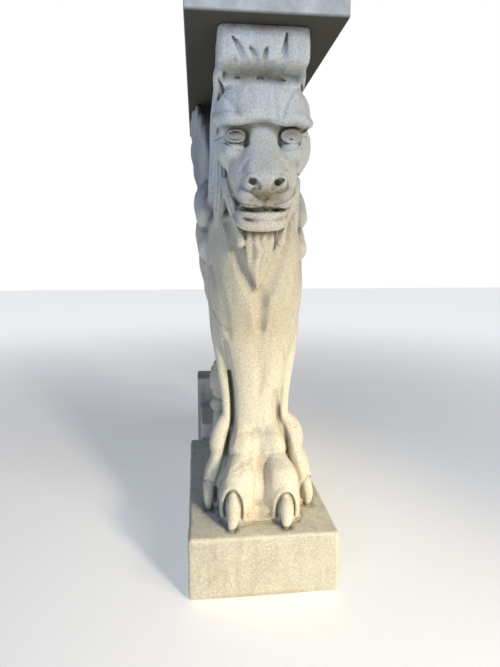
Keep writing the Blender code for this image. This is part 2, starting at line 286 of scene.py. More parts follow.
class StoneField:
    """Signed distances to the casting's skin on a grid whose lines lie closer where the carving is fine."""

    def __init__(self, coarse: float) -> None:
        """Lays the grid.

        Args:
            coarse: how many times coarser than the finished one the grid is.
        """
        self.x = self.axis(((-97.5, -62, 2.0), (-62, 62, 1.15), (62, 97.5, 2.0)), coarse)
        self.y = self.axis(((-3, 128, 1.15), (128, 200, 1.8), (200, 548, 2.6)), coarse)
        self.z = self.axis(((-85, -4, 2.6), (-4, 112, 1.2), (112, 290, 1.8), (290, 600, 1.15)), coarse)
        self.values = np.full((len(self.x), len(self.y), len(self.z)), FAR, np.float32)

    @staticmethod
    def axis(bands: tuple, coarse: float) -> np.ndarray:
        """Grid lines through bands, their steps made coarser.

        Args:
            bands: rows of start, end and step.
            coarse: what each step is multiplied by.

        Returns:
            The lines' places.
        """
        cut = []
        for start, end, step in bands:
            count = max(2, round((end - start) / (step * coarse)))
            cut.append(np.linspace(start, end, count, endpoint=False))
        return np.append(np.concatenate(cut), bands[-1][1]).astype(np.float32)

    def patch(self, low: np.ndarray, high: np.ndarray, within: Patch | None = None) -> Patch:
        """The part of the grid between two corners.

        Args:
            low: the lowest corner.
            high: the highest corner.
            within: another patch that it is kept inside, where one is given.

        Returns:
            The patch.
        """
        parts = []
        for i, axis in enumerate((self.x, self.y, self.z)):
            start = int(np.searchsorted(axis, low[i]))
            stop = int(np.searchsorted(axis, high[i], side="right"))
            if within is not None:
                start = min(max(start, within.part[i].start), within.part[i].stop)
                stop = max(min(stop, within.part[i].stop), start)
            parts.append(slice(start, stop))
        x, y, z = (axis[s] for axis, s in zip((self.x, self.y, self.z), parts))
        return Patch(tuple(parts), x[:, None, None], y[None, :, None], z[None, None, :])

    def around(self, form: Form, margin: float) -> Patch:
        """The patch that holds a form and a margin about it."""
        low, high = form.reach()
        return self.patch(low - margin, high + margin)

    def join(self, form: Form, blend: float = 2.0) -> None:
        """Adds a form, with a fillet where it meets the rest.

        With h = 1 - |a - b| / blend, the joined field is min(a, b) - h^2 blend / 4.

        Args:
            form: what is added.
            blend: how far the fillet reaches.
        """
        patch = self.around(form, blend + 5)
        a = self.values[patch.part]
        b = form.distance(self, patch).astype(np.float32)
        h = np.maximum(blend - np.abs(a - b), 0) / blend
        self.values[patch.part] = np.minimum(a, b) - h * h * (blend / 4)

    def cut(self, form: Form, blend: float = 2.0) -> None:
        """Takes a form away.

        Args:
            form: what is taken away.
            blend: how far its edge is softened.
        """
        patch = self.around(form, blend + 3)
        a = self.values[patch.part]
        b = -form.distance(self, patch).astype(np.float32)
        h = np.maximum(blend - np.abs(a - b), 0) / blend
        self.values[patch.part] = np.maximum(a, b) + h * h * (blend / 4)

    def engrave(
        self,
        points: Rows,
        widths: Numbers,
        depth: float,
        facing: Facing = Facing.FRONT,
        reach: float = 16.0,
        crisp: float = 2.0,
    ) -> None:
        """Moves the skin along a line, seen flat from one way, by depth x (1 - (distance / width)^2)^crisp.

        Args:
            points: the line's rows of x, y, z.
            widths: half its width at each of them.
            depth: how deep it is cut, or how far it is raised where negative.
            facing: the way from which it is drawn.
            reach: how far before and behind the line it takes effect.
            crisp: the power, which makes a groove sharper where it is low.
        """
        rows = carried(np.column_stack([np.array(points, float), np.array(widths, float)]), 6)
        most = rows[:, 3].max()
        flat, deep = (1, 0) if facing is Facing.FLANK else (0, 1)
        margin = np.full(3, most)
        margin[deep] = reach
        patch = self.patch(rows[:, :3].min(0) - margin, rows[:, :3].max(0) + margin)
        across = (patch.y if flat else patch.x).reshape(-1, 1)
        up = patch.z.reshape(1, -1)
        best = np.full((across.shape[0], up.shape[1]), 1e9)
        place = np.zeros_like(best)
        for a, b in zip(rows, rows[1:]):
            du, dz = b[flat] - a[flat], b[2] - a[2]
            share = np.clip(((across - a[flat]) * du + (up - a[2]) * dz) / (du * du + dz * dz + 1e-9), 0, 1)
            gap = np.hypot(across - a[flat] - share * du, up - a[2] - share * dz)
            gap = gap / np.maximum(a[3] + (b[3] - a[3]) * share, 0.05)
            nearer = gap < best
            best = np.where(nearer, gap, best)
            place = np.where(nearer, a[deep] + (b[deep] - a[deep]) * share, place)
        weight = np.clip(1 - best**2, 0, 1) ** crisp
        if flat:
            weight, place, depth_axis = weight[None, :, :], place[None, :, :], patch.x
        else:
            weight, place, depth_axis = weight[:, None, :], place[:, None, :], patch.y
        fall = np.clip(2 - 2 * np.abs(depth_axis - place) / reach, 0, 1)
        self.values[patch.part] += (depth * weight * fall).astype(np.float32)

    def roughen(self, size: float, height: float, seed: int) -> None:
        """Shifts the field by smooth random numbers on a lattice, as a worn hand-made mould does.

        Args:
            size: the lattice's spacing.
            height: about how far the skin moves.
            seed: starts the random numbers.
        """
        draw = np.random.default_rng(seed)
        weights = []
        for axis in (self.x, self.y, self.z):
            place = (axis - axis[0]) / size
            knots = np.arange(int(place[-1]) + 3)
            gap = np.abs(place[:, None] - knots[None, :])
            near = np.where(gap < 1, 2 / 3 - gap**2 + gap**3 / 2, np.clip(2 - gap, 0, 1) ** 3 / 6)
            weights.append(near.astype(np.float32))
        smoothed_away = 2.2
        lattice = draw.normal(0, height * smoothed_away, [w.shape[1] for w in weights]).astype(np.float32)
        waves = np.einsum("ai,ijk->ajk", weights[0], lattice, optimize=True)
        waves = np.einsum("bj,ajk->abk", weights[1], waves, optimize=True)
        for i in range(len(self.x)):
            self.values[i] += waves[i] @ weights[2].T

    def level(self, bottom: float, top: float) -> None:
        """Cuts the stone off level at its underside and its top."""
        for beyond in (self.z - top, bottom - self.z):
            self.values = np.maximum(self.values, beyond)

    def sample(self, places: np.ndarray) -> np.ndarray:
        """The field at any places, read off the eight grid points about each.

        Args:
            places: rows of x, y, z.

        Returns:
            A distance for each.
        """
        index, share = [], []
        for i, axis in enumerate((self.x, self.y, self.z)):
            at = np.clip(np.searchsorted(axis, places[:, i]) - 1, 0, len(axis) - 2)
            index.append(at)
            share.append(np.clip((places[:, i] - axis[at]) / (axis[at + 1] - axis[at]), 0, 1))
        found = np.zeros(len(places))
        for corner in range(8):
            bits = [(corner >> i) & 1 for i in range(3)]
            weight = np.prod([s if bit else 1 - s for s, bit in zip(share, bits)], axis=0)
            found += weight * self.values[tuple(a + bit for a, bit in zip(index, bits))]
        return found

    def skin(self) -> tuple:
        """The closed surface where the field is zero, as points and four-cornered faces.

        Each grid cell that the surface crosses gives one point, the mean of where the surface cuts the cell's
        edges, and each grid edge that the surface cuts gives one face between the four cells around it.

        Returns:
            The points in drawn millimetres, and the faces as rows of four indices.
        """
        solid = self.values < 0
        corners = [(i, j, k) for i in (0, 1) for j in (0, 1) for k in (0, 1)]
        shape = tuple(n - 1 for n in solid.shape)
        some, every = np.zeros(shape, bool), np.ones(shape, bool)
        for i, j, k in corners:
            part = solid[i : i + shape[0], j : j + shape[1], k : k + shape[2]]
            some |= part
            every &= part
        cells = np.argwhere(some & ~every)
        number = np.full(shape, -1, np.int32)
        number[tuple(cells.T)] = np.arange(len(cells))
        total, count = np.zeros((len(cells), 3)), np.zeros(len(cells))
        axes = (self.x, self.y, self.z)
        for i, j, k in corners:
            for axis in range(3):
                if (i, j, k)[axis]:
                    continue
                start = cells + (i, j, k)
                end = start.copy()
                end[:, axis] += 1
                a, b = self.values[tuple(start.T)], self.values[tuple(end.T)]
                cross = (a < 0) != (b < 0)
                t = np.where(cross, a / np.where(cross, a - b, 1), 0)
                for n in range(3):
                    near, far = axes[n][start[:, n]], axes[n][end[:, n]]
                    at = near + t * (far - near) if n == axis else near
                    total[:, n] += at * cross
                count += cross
        points = total / count[:, None]
        faces = []
        for axis in range(3):
            u, v = (axis + 1) % 3, (axis + 2) % 3
            inner = [slice(None)] * 3
            inner[axis], inner[u], inner[v] = slice(0, -1), slice(1, -1), slice(1, -1)
            after = list(inner)
            after[axis] = slice(1, None)
            a, b = solid[tuple(inner)], solid[tuple(after)]
            for out_first, crossing in ((False, a & ~b), (True, ~a & b)):
                edges = np.argwhere(crossing)
                edges[:, u] += 1
                edges[:, v] += 1
                ring = []
                for du, dv in ((1, 1), (0, 1), (0, 0), (1, 0)):
                    cell = edges.copy()
                    cell[:, u] -= du
                    cell[:, v] -= dv
                    ring.append(number[tuple(cell.T)])
                quad = np.column_stack(ring)
                faces.append(quad[:, ::-1] if out_first else quad)
        return points, np.vstack(faces)


def largest_body(points: np.ndarray, faces: np.ndarray) -> tuple:
    """Keeps the one connected skin with the most points, so that no sealed hollow is left inside.

    Args:
        points: rows of x, y, z.
        faces: rows of four indices.

    Returns:
        The points and faces of that skin.
    """
    label = np.arange(len(points))
    ends = np.vstack([faces[:, [0, 1]], faces[:, [1, 2]], faces[:, [2, 3]], faces[:, [3, 0]]])
    while True:
        low = np.minimum(label[ends[:, 0]], label[ends[:, 1]])
        newer = label.copy()
        np.minimum.at(newer, label[ends[:, 0]], low)
        np.minimum.at(newer, label[ends[:, 1]], low)
        newer = newer[newer]
        newer = newer[newer]
        if (newer == label).all():
            break
        label = newer
    keep = label == np.bincount(label).argmax()
    number = np.cumsum(keep) - 1
    return points[keep], number[faces[keep[faces[:, 0]]]]


@dataclass
class Leg:
    """A flat-fronted leg between two sinews widens upwards into the barrel of the breast and the neck."""

    sections: tuple = (
        (-EMBEDDED, 34, 96, 148), (40, 34, 92, 150), (100, 35, 84, 152), (150, 36, 82, 155),
        (175, 40, 80, 158), (200, 46, 77, 165), (235, 56, 72, 182), (265, 62, 65, 202), (300, 65, 57, 225),
        (340, 66, 53, 250), (370, 63, 60, 265), (388, 61, 68, 272), (400, 55, 84, 280), (412, 49, 94, 290),
        (470, 47, 100, 305), (530, 46, 100, 315), (597, 46, 90, 330),
    )
    left_groove: tuple = (
        (-44, 100, 232), (-40, 96, 212), (-36, 92, 187), (-33, 90, 158), (-32, 88, 126), (-34, 88, 107),
        (-41, 84, 88), (-45, 76, 70), (-51, 70, 52), (-57, 66, 36), (-58, 62, 12),
    )
    right_groove: tuple = (
        (30, 98, 226), (25, 94, 194), (25, 90, 157), (29, 88, 124), (38, 86, 96), (44, 80, 78),
        (49, 72, 56), (55, 66, 38), (58, 62, 14),
    )

    def shape(self, stone: StoneField) -> None:
        """Joins the leg, the breast, the neck and the two sinews to the stone.

        Args:
            stone: the field that is carved.
        """
        stone.join(Trunk(self.sections), 6)
        stone.join(Ball((0, 104, 300), (57, 50, 62)), 14)
        for side in BOTH_SIDES:
            path = (
                (50, 130, 290), (49, 120, 240), (45, 112, 195), (40, 108, 150), (39, 108, 116),
                (42, 110, 96),
            )
            stone.join(Stroke(mirrored(path, side), (14, 12, 9, 7.5, 7.5, 9)), 4)
        for path, widths, depth in (
            (
                ((-37, 66, 384), (-27, 56, 350), (-13, 53, 314), (-1, 54, 284), (2, 62, 250)),
                (9, 13, 15, 15, 9),
                7.0,
            ),
            (((36, 66, 386), (26, 56, 352), (12, 53, 316), (2, 54, 286)), (9, 13, 14, 11), 6.0),
            (((-58, 90, 330), (-52, 80, 300), (-44, 78, 268), (-38, 84, 238)), (7, 10, 9, 5), 2.2),
            (((57, 90, 336), (52, 80, 306), (44, 78, 272), (38, 84, 240)), (7, 10, 9, 5), 2.2),
            (((2, 62, 256), (-3, 70, 225), (2, 78, 190), (1, 82, 160)), (9, 12, 10, 6), 1.8),
        ):
            stone.engrave(path, widths, depth, reach=44)

    def detail(self, stone: StoneField) -> None:
        """Sinks the grooves beside the sinews and draws the shallow folds over the leg's top.

        Args:
            stone: the field that is carved.
        """
        for path, depth, broad in ((self.left_groove, 5.5, 1.0), (self.right_groove, 3.2, 1.6)):
            stone.engrave(path[:6], (4, 6, 7, 7, 6, 5), depth * 0.35, reach=32)
            rest = path[2:]
            widths = broad * (2.6 + 2.8 * np.sin(np.pi * np.linspace(0.12, 1, len(rest))) ** 0.5)
            stone.engrave(rest, tuple(widths), depth, reach=32, crisp=1.5)
        fold = ((-57, 112, 270), (-51, 105, 257), (-42, 98, 248), (-31, 90, 252))
        stone.engrave(fold, (2, 5, 5, 2), 1.6, reach=24)
        stone.engrave(((34, 96, 220), (36, 95, 212), (37, 95, 204)), (2.5, 3.5, 2.5), 2, reach=20)
        waves = ((-36, 345, 285, 0.6), (-18, 305, 240, 0.5), (14, 300, 236, 0.6), (38, 365, 290, 0.7))
        for x, top, low, depth in waves:
            path = ((x, 66, top), (x * 1.1, 62, (top + low) / 2), (x * 0.9, 68, low))
            stone.engrave(path, (4, 8, 4), depth, reach=34)


@dataclass
class Paw:
    """Two long toes in front and one at each side, each with a bent knuckle and a hooded claw."""

    def shape(self, stone: StoneField) -> None:
        """Joins the toes with their two knuckles and the instep to the stone.

        Args:
            stone: the field that is carved.
        """
        stone.join(Ball((0, 98, 34), (54, 52, 52)), 6)
        stone.join(Ball((0, 94, 78), (34, 32, 34)), 8)
        stone.join(Ball((2, 112, 84), (50, 34, 44)), 5)
        stone.join(Block((-38, 112, 20), (38, 148, 236), 6), 4)
        for side, lift, out in ((-1, 0, 1.5), (1, 4, 4)):
            toe = (
                (13, 106, 116), (19, 94, 99), (21, 84, 88), (22, 76, 75), (26, 64, 63), (29, 56, 50),
                (30, 51, 24), (30, 51, -6),
            )
            stone.join(Stroke(mirrored(toe, side), (14, 18.5, 20.5, 15.5, 19, 24.5, 24, 23)), 2)
            outer = (
                (41, 110, 118), (46 + out, 106, 103 + lift), (49 + out, 100, 87 + lift),
                (50 + out, 98, 71 + lift), (54 + out, 92, 52 + lift), (57 + out, 90, 34 + lift),
                (58 + out, 90, 14), (58 + out, 90, -5),
            )
            stone.join(Stroke(mirrored(outer, side), (9, 12.5, 14.5, 11.5, 15.5, 16.5, 15.5, 14)), 2)
            for up, deep, wide in ((108, 1.0, 3.5), (76, 1.4, 4.5), (70, 0.9, 3.0)):
                bend = ((side * 8, 74, up - 3), (side * 20, 60, up), (side * 34, 76, up - 5))
                stone.engrave(bend, (wide * 0.6, wide, wide * 0.6), deep, reach=46)
        stone.join(Ball((0, 56, 4), (32, 24, 18)), 6)

    def detail(self, stone: StoneField) -> None:
        """Parts the toes by a soft valley, crumbles the stone at its foot and sets the hooded claws.

        Args:
            stone: the field that is carved.
        """
        cleft = ((0, 90, 106), (1, 82, 92), (1, 70, 76), (3, 54, 56), (0, 38, 34), (-4, 32, 12))
        stone.engrave(cleft, (9, 11, 12, 13, 14, 10), 2.2, reach=44)
        stone.engrave(cleft[1:], (8, 10, 11, 12, 9), 2.6, reach=44)
        draw = np.random.default_rng(5)
        for _ in range(30):
            x, y, z = draw.uniform((-22, 24, 3), (20, 34, 25))
            stone.cut(Ball((x, y, z), tuple(draw.uniform(1.5, 3.8, 3)), turn=40), 1.2)
        for middle, top, tip, wide in ((-37.5, 43, -41, 8.2), (31, 38, 28.8, 8.8)):
            self.claw(stone, middle, top, tip, wide)
        for side, x in ((-1, -67), (1, 69)):
            hood = (
                (x - side * 8, 78, 10), (x - side * 7.5, 78, 28), (x - side * 2, 78, 40),
                (x + side * 6, 80, 37),
            )
            stone.engrave(hood, (1.8, 2.4, 2.4, 1.8), 3.5, reach=26, crisp=1.3)
            nail = ((x - side, 84, 36), (x, 77, 27), (x + side, 73, 16), (x, 73, 3))
            stone.join(Stroke(nail, (6, 7, 6.4, 3.6)), 1)

    def claw(self, stone: StoneField, middle: float, top: float, tip: float, wide: float) -> None:
        """Hollows the hood of a front toe and sets a long claw in it.

        Args:
            stone: the field that is carved.
            middle: the claw's place across.
            top: the hood's height.
            tip: the place across of the claw's tip.
            wide: half the claw's width.
        """
        turn = np.linspace(-0.35, math.pi + 0.35, 11)
        low = top * 0.45
        across, up = np.cos(turn), np.sin(turn)
        arch = np.column_stack([middle + (wide + 2.2) * across, 27 + 3 * up, low + (top + 3 - low) * up])
        stone.engrave(arch, np.linspace(1.8, 2.1, 11), 3.2, reach=34, crisp=1.5)
        ridge = arch.copy()
        ridge[:, 0] = middle + (ridge[:, 0] - middle) * 1.5
        ridge[:, 2] = low + (ridge[:, 2] - low) * 1.24
        stone.engrave(ridge, np.full(11, 4.5), -2.2, reach=34)
        nail = (
            (middle, 33, top - 5), (middle, 25, top * 0.66), (middle, 21, top * 0.44),
            ((middle + tip) / 2, 18, top * 0.22),
            (tip, 17, 3.5),
        )
        stone.join(Stroke(nail, (wide * 0.75, wide, wide * 0.97, wide * 0.75, 4)), 0.8)


@dataclass
class Head:
    """The skull with its heavy brow, the broad nose and muzzle, the lids and the jaw."""

    middle: float = 3.0
    eye_left: tuple = (-31.0, 55.0, 483.0)
    eye_right: tuple = (36.0, 55.0, 484.5)

    def shape(self, stone: StoneField) -> None:
        """Joins the large forms of the head to the stone.

        Args:
            stone: the field that is carved.
        """
        m = self.middle
        stone.join(Ball((m, 106, 492), (50, 58, 58)), 8)
        stone.join(Block((m - 53, 55, 458), (m + 57, 116, 512), 17), 6)
        forehead = (
            (497, 54, 40, 120), (501, 57, 33, 120), (508, 58, 30.5, 110), (516, 58, 31, 110),
            (524, 56.5, 32, 110), (531, 53, 34, 110), (538, 48, 37.5, 110), (543, 44, 42, 110),
            (547, 40, 50, 110),
        )
        stone.join(Trunk(forehead, 2.7, m), 3)
        stone.join(Stroke(((-46, 76, 482), (-40, 68, 467), (-35, 66, 451)), (10, 12.5, 9)), 5)
        stone.join(Stroke(((55, 76, 486), (51, 71, 468), (44, 70, 449)), (10, 12.5, 9)), 5)
        for side in BOTH_SIDES:
            stone.join(Ball((m + side * 28, 74, 440), (15, 24, 28)), 5)
        nose = (
            (502, 17, 46, 80), (491, 17, 45, 80), (480, 19, 42, 80), (467, 23, 35, 80), (456, 27, 26, 80),
            (445, 27, 18, 80), (436, 25, 12, 80), (428, 22, 8.5, 80), (420, 18, 8, 60), (412, 12, 11, 50),
            (407, 6, 16, 40),
        )
        muzzle = (
            (470, 24, 46, 90), (463, 34, 38, 95), (455, 39.5, 31, 95), (445, 42, 25, 95),
            (434, 41.5, 21, 95), (423, 38, 19, 92), (413, 34, 20, 85), (405, 28, 24, 70), (399, 20, 30, 60),
        )
        stone.join(Trunk(muzzle, 2.2, m), 1.6)
        stone.join(Trunk(nose, 3.0, 0.8), 3)
        for side in BOTH_SIDES:
            stone.join(Ball((1 + side * 16.5, 20, 427), (9, 12, 9.5)), 2.5)
            stone.join(Ball((3 + side * 18, 34, 413), (17, 17, 15)), 4)
        self.jaw(stone)

    def jaw(self, stone: StoneField) -> None:
        """Joins the lower lip, the chin and the roll under it.

        Args:
            stone: the field that is carved.
        """
        stone.join(Ball((2, 72, 396), (34, 38, 22)), 4)
        stone.join(Ball((2, 60, 386), (31, 32, 12)), 3)
        stone.join(Ball((2, 58, 385), (27, 30, 10)), 3)
        lip = (
            (-28, 50, 396), (-20, 37, 392), (-8, 31, 390), (2, 30, 389), (14, 31, 390.5), (24, 37, 393),
            (31, 50, 399),
        )
        stone.join(Stroke(lip, (3, 4.4, 4.4, 4.8, 4.4, 4.4, 3)), 3)
        stone.join(Ball((-21, 47, 390), (10, 12, 8)), 4)
        roll = (
            (-34, 62, 394), (-28, 46, 385), (-20, 36, 379), (-4, 33, 378), (12, 34, 378.5), (24, 41, 382),
            (33, 58, 393),
        )
        stone.join(Stroke(roll, (4.5, 5.6, 5.8, 5.8, 5.8, 5.6, 4.5)), 3)

    def brow(self, stone: StoneField) -> None:
        """Hollows the sockets and hangs the brow over them and over the nose as a soft M.

        Args:
            stone: the field that is carved.
        """
        for x, y, z in (self.eye_left, self.eye_right):
            stone.cut(Ball((x, y - 6, z + 1), (16, 13, 11)), 3)
            stone.join(Ball((x * 1.05, y + 8, z - 17), (18, 18.5, 14.5)), 5)
        brow = (
            (-53, 64, 506), (-47, 50, 503.5), (-39, 40, 501.5), (-30, 38, 500.6), (-22, 38, 502),
            (-13, 39, 505), (2, 39, 505), (18, 38.5, 503), (28, 38, 501.6), (40, 40.5, 503), (52, 51, 501),
            (60, 66, 504),
        )
        stone.join(Stroke(brow, (6, 7.5, 8.3, 8.3, 8, 7.2, 7.2, 7.6, 8, 8.3, 8, 6)), 2.5)

    def eyes(self, stone: StoneField) -> None:
        """Sets the eyeballs, their ringed lids, the drilled pupil, the bags and the crow's feet.

        Args:
            stone: the field that is carved.
        """
        turn = np.linspace(0, math.pi, 9)
        for (x, y, z), outward in ((self.eye_left, -1), (self.eye_right, 1)):
            stone.join(Ball((x, y + 1.5, z - 0.3), (11.6, 11, 7.8)), 0.5)
            for up, thick in ((1, 1.8), (-1, 1.5)):
                lid = np.column_stack(
                    [x + outward * 11 * np.cos(turn), y - 3 - 5.2 * np.sin(turn), z + up * 6.7 * np.sin(turn)]
                )
                stone.join(Stroke(tuple(map(tuple, lid)), [1.4] + [thick] * 7 + [1.4], steps=2), 0.8)
            stone.cut(Ball((x - outward * 13.5, y - 5, z - 8), (3.4, 9, 5.2)), 2)
            bag = (
                (x + outward * 11, y - 3, z - 7), (x + outward * 4, y - 8, z - 14),
                (x - outward * 6, y - 9, z - 17),
            )
            stone.engrave(bag, (1.5, 2.4, 1.5), 2, reach=22)
        x, y, z = self.eye_right
        stone.cut(Ball((x - 0.5, y - 9.4, z - 4.0), (1.8, 5, 1.6)), 0.6)
        for path in (
            ((48, 50, 492), (52, 55, 493.5), (57, 62, 496)),
            ((48, 50, 488.5), (52, 56, 487.5), (57, 62, 488)),
        ):
            stone.engrave(path, (1.6, 1.8, 0.8), 1.7, reach=22, crisp=1.4)
        stone.engrave(((-42, 48, 486), (-48, 56, 485), (-54, 66, 483)), (1.2, 2, 1), 2, reach=22)

    def nose(self, stone: StoneField) -> None:
        """Cuts the comma-shaped nostrils, the folds at the nose's foot, the philtrum and the mouth.

        Args:
            stone: the field that is carved.
        """
        for hole, widths, deep, size in (
            (
                ((-22, 12, 429), (-15, 9, 426.5), (-8.6, 10.5, 420.5)),
                (1.6, 3.8, 2.8), (-14.5, 16, 426.5),
                4.8,
            ),
            (((21, 13, 428), (14.5, 9.5, 426.5), (8.8, 11, 419)), (1.6, 3.5, 2.4), (14.5, 16, 426), 4.4),
        ):
            stone.cut(Stroke(hole, widths), 2.4)
            stone.cut(Ball(deep, (size, 9, 3.6)), 1)
        for side in BOTH_SIDES:
            dent = ((side * 20 + 1, 19, 452), (side * 23 + 1, 18, 446), (side * 24.5 + 1, 18, 441))
            stone.engrave(dent, (3.4, 4, 3), 2.4, reach=22)
        wing = ((-25, 18, 432), (-26.5, 17, 425), (-22, 14, 418), (-15, 12, 415.5))
        stone.engrave(wing, (1.6, 2.2, 2, 1.4), 2, reach=20, crisp=1.5)
        wing = ((27, 18, 430), (27, 17, 423), (22, 14, 417), (13, 12, 415))
        stone.engrave(wing, (1.6, 2.2, 2, 1.2), 1.5, reach=20, crisp=1.5)
        groove = ((-12, 11, 420), (-15, 12, 416.5), (-10.5, 12, 412.5), (-4.5, 12.5, 409), (0, 13, 407.4))
        stone.engrave(groove, (1.3, 2, 2.2, 2.2, 1.8), 2.2, reach=18, crisp=1.3)
        groove = ((12, 12, 417), (9, 12, 413), (4, 12.5, 409.5), (0, 13, 407.4))
        stone.engrave(groove, (1.1, 1.6, 1.9, 1.8), 2.4, reach=18, crisp=1.3)
        stone.engrave(((0, 14, 409), (0.3, 17, 404), (0.4, 20, 397)), (2.2, 2.8, 3.4), 5, reach=20, crisp=1.3)
        for path in (
            ((-38, 40, 426), (-34, 36, 416.5), (-25, 28, 408.6), (-10, 20, 405.4)),
            ((-36, 42, 417), (-31, 38, 410), (-22.5, 28, 403), (-9, 20, 401.8)),
        ):
            stone.engrave(path, (1.6, 2.4, 2.2, 1.0), 2, reach=24, crisp=1.5)
        lip = ((12, 20, 402.5), (22, 26, 404.5), (30, 32, 409), (37, 38, 417))
        stone.engrave(lip, (1, 1.7, 1.7, 1), 2, reach=22)
        mouth = ((-33, 409), (-28, 402.5), (-20, 398), (-9, 396.4), (1, 397.8))
        mouth += ((12, 396.4), (23, 399), (32, 407), (38, 416))
        for deeper in (0, 7, 14, 22):
            path = [(x, 23 + deeper + x * x * 0.022, z) for x, z in mouth]
            stone.cut(Stroke(path, (0.8, 1.5, 2.5, 3.2, 3.8, 3.2, 2.5, 1.5, 0.8)), 0.8)
        fold = (
            (-24, 40, 388), (-16, 33, 385), (-4, 30, 384), (12, 31, 384.4), (20, 36, 387), (26, 42, 391),
        )
        stone.engrave(fold, (1.4, 2.2, 2.2, 2.2, 2.2, 1.4), 1.0, reach=20)

    def skin_folds(self, stone: StoneField) -> None:
        """Draws the soft dents and folds of the forehead.

        Args:
            stone: the field that is carved.
        """
        for path, widths, depth in (
            (((-43, 43, 526), (-38.5, 40, 520), (-34.6, 38, 512.5), (-29, 37, 504)), (4, 6, 7, 4), 2.6),
            (((-18, 37, 532), (-15, 36, 524), (-12.5, 36, 515)), (4, 6, 4), 1.2),
            (((11, 38, 534), (12, 36, 520), (14, 34, 508), (15.5, 33, 498)), (2, 3, 3, 2), 1.0),
            (
                ((37, 42, 534), (32, 40, 527), (28, 39, 520), (24.3, 37, 512), (22, 35, 501)),
                (3, 4, 4.5, 4, 3),
                2.2,
            ),
        ):
            stone.engrave(path, widths, depth, reach=24)
        for path, widths, depth in (
            (((-22, 36, 534), (-24, 36, 520), (-21, 35, 508)), (6, 8, 6), -1.1),
            (((18, 36, 533), (19, 35, 518), (19, 34, 504)), (4, 5, 4), -1.0),
            (((33, 38, 522), (30, 37, 512), (28, 36, 503)), (4, 5, 4), -1.0),
        ):
            stone.engrave(path, widths, depth, reach=24)


@dataclass
class Beard:
    """A pointed beard of wavy locks under the chin, with a flap and a rounded tuft at each side."""

    def shape(self, stone: StoneField) -> None:
        """Joins the beard's locks and the side flaps to the stone.

        Args:
            stone: the field that is carved.
        """
        stone.join(Ball((0, 66, 352), (21, 20, 34)), 4)
        core = ((0, 58, 366), (-1, 55, 346), (-2, 55, 328), (-3.5, 55, 312))
        stone.join(Stroke(core, (13, 13, 10.5, 6)), 2)
        for path, radii in (
            (
                ((-13, 51, 374), (-15.5, 48, 360), (-15, 48, 346), (-14, 48, 333), (-9, 51, 316)),
                (4.4, 4.6, 4.4, 4, 1.8),
            ),
            (
                ((-4, 49, 374), (-7, 46, 360), (-3, 45.5, 347), (-7.5, 46, 332), (-4, 51, 303)),
                (4.6, 5, 4.6, 4.8, 1.8),
            ),
            (
                ((5, 49, 374), (2.5, 46, 361), (6, 46, 349), (0, 46, 336), (-1, 51, 311)),
                (4.6, 5, 4.4, 4.4, 1.6),
            ),
            (
                ((12, 51, 374), (12, 48, 361), (9, 47, 349), (10, 48, 339), (4, 51, 325)),
                (4.2, 4.8, 4.4, 3.4, 1.6),
            ),
        ):
            stone.join(Stroke(path, radii), 3)
        left = (
            (-42, 72, 436), (-39, 66, 420), (-35, 61, 403), (-30, 56, 386), (-27, 50, 372),
            (-25.5, 47, 359),
        )
        stone.join(Stroke(left, (6, 8, 7.5, 5.5, 3.6, 6.2)), 1.6)
        right = ((46, 72, 436), (42, 65, 418), (36, 60, 402), (30, 54, 387), (26, 48, 374), (23.5, 46, 359))
        stone.join(Stroke(right, (6, 8, 7.5, 5.5, 4.6, 5.2)), 1.6)
        for path, depth in (
            (((-9, 46, 371), (-10.5, 44, 360), (-8, 44, 347), (-9.5, 44, 333), (-6, 47, 322)), 0.8),
            (((0, 45, 370), (-2, 42, 361), (1, 42, 349), (-3, 43, 335), (-2.5, 46, 319)), 1.0),
            (((8, 45, 371), (6.5, 43, 361), (8, 43, 350), (4.5, 44, 337), (2, 47, 327)), 0.8),
        ):
            stone.engrave(path, (1.2, *[2.2] * (len(path) - 2), 1.0), depth * 0.7, reach=18)
        stone.engrave(((-39, 62, 416), (-36, 59, 401), (-31, 55, 385)), (1.4, 2, 1.4), 1.6, reach=22)
        stone.engrave(((-44, 66, 412), (-41, 63, 398), (-35, 58, 382)), (1.6, 2.4, 1.4), 2.4, reach=26)
        stone.engrave(((-29, 50, 366), (-26.5, 50, 360), (-22, 50, 358)), (1, 1.4, 1), 1, reach=20)
        stone.engrave(((26, 50, 384), (24, 50, 372), (21, 50, 362)), (1, 1.6, 1), 1.2, reach=20)


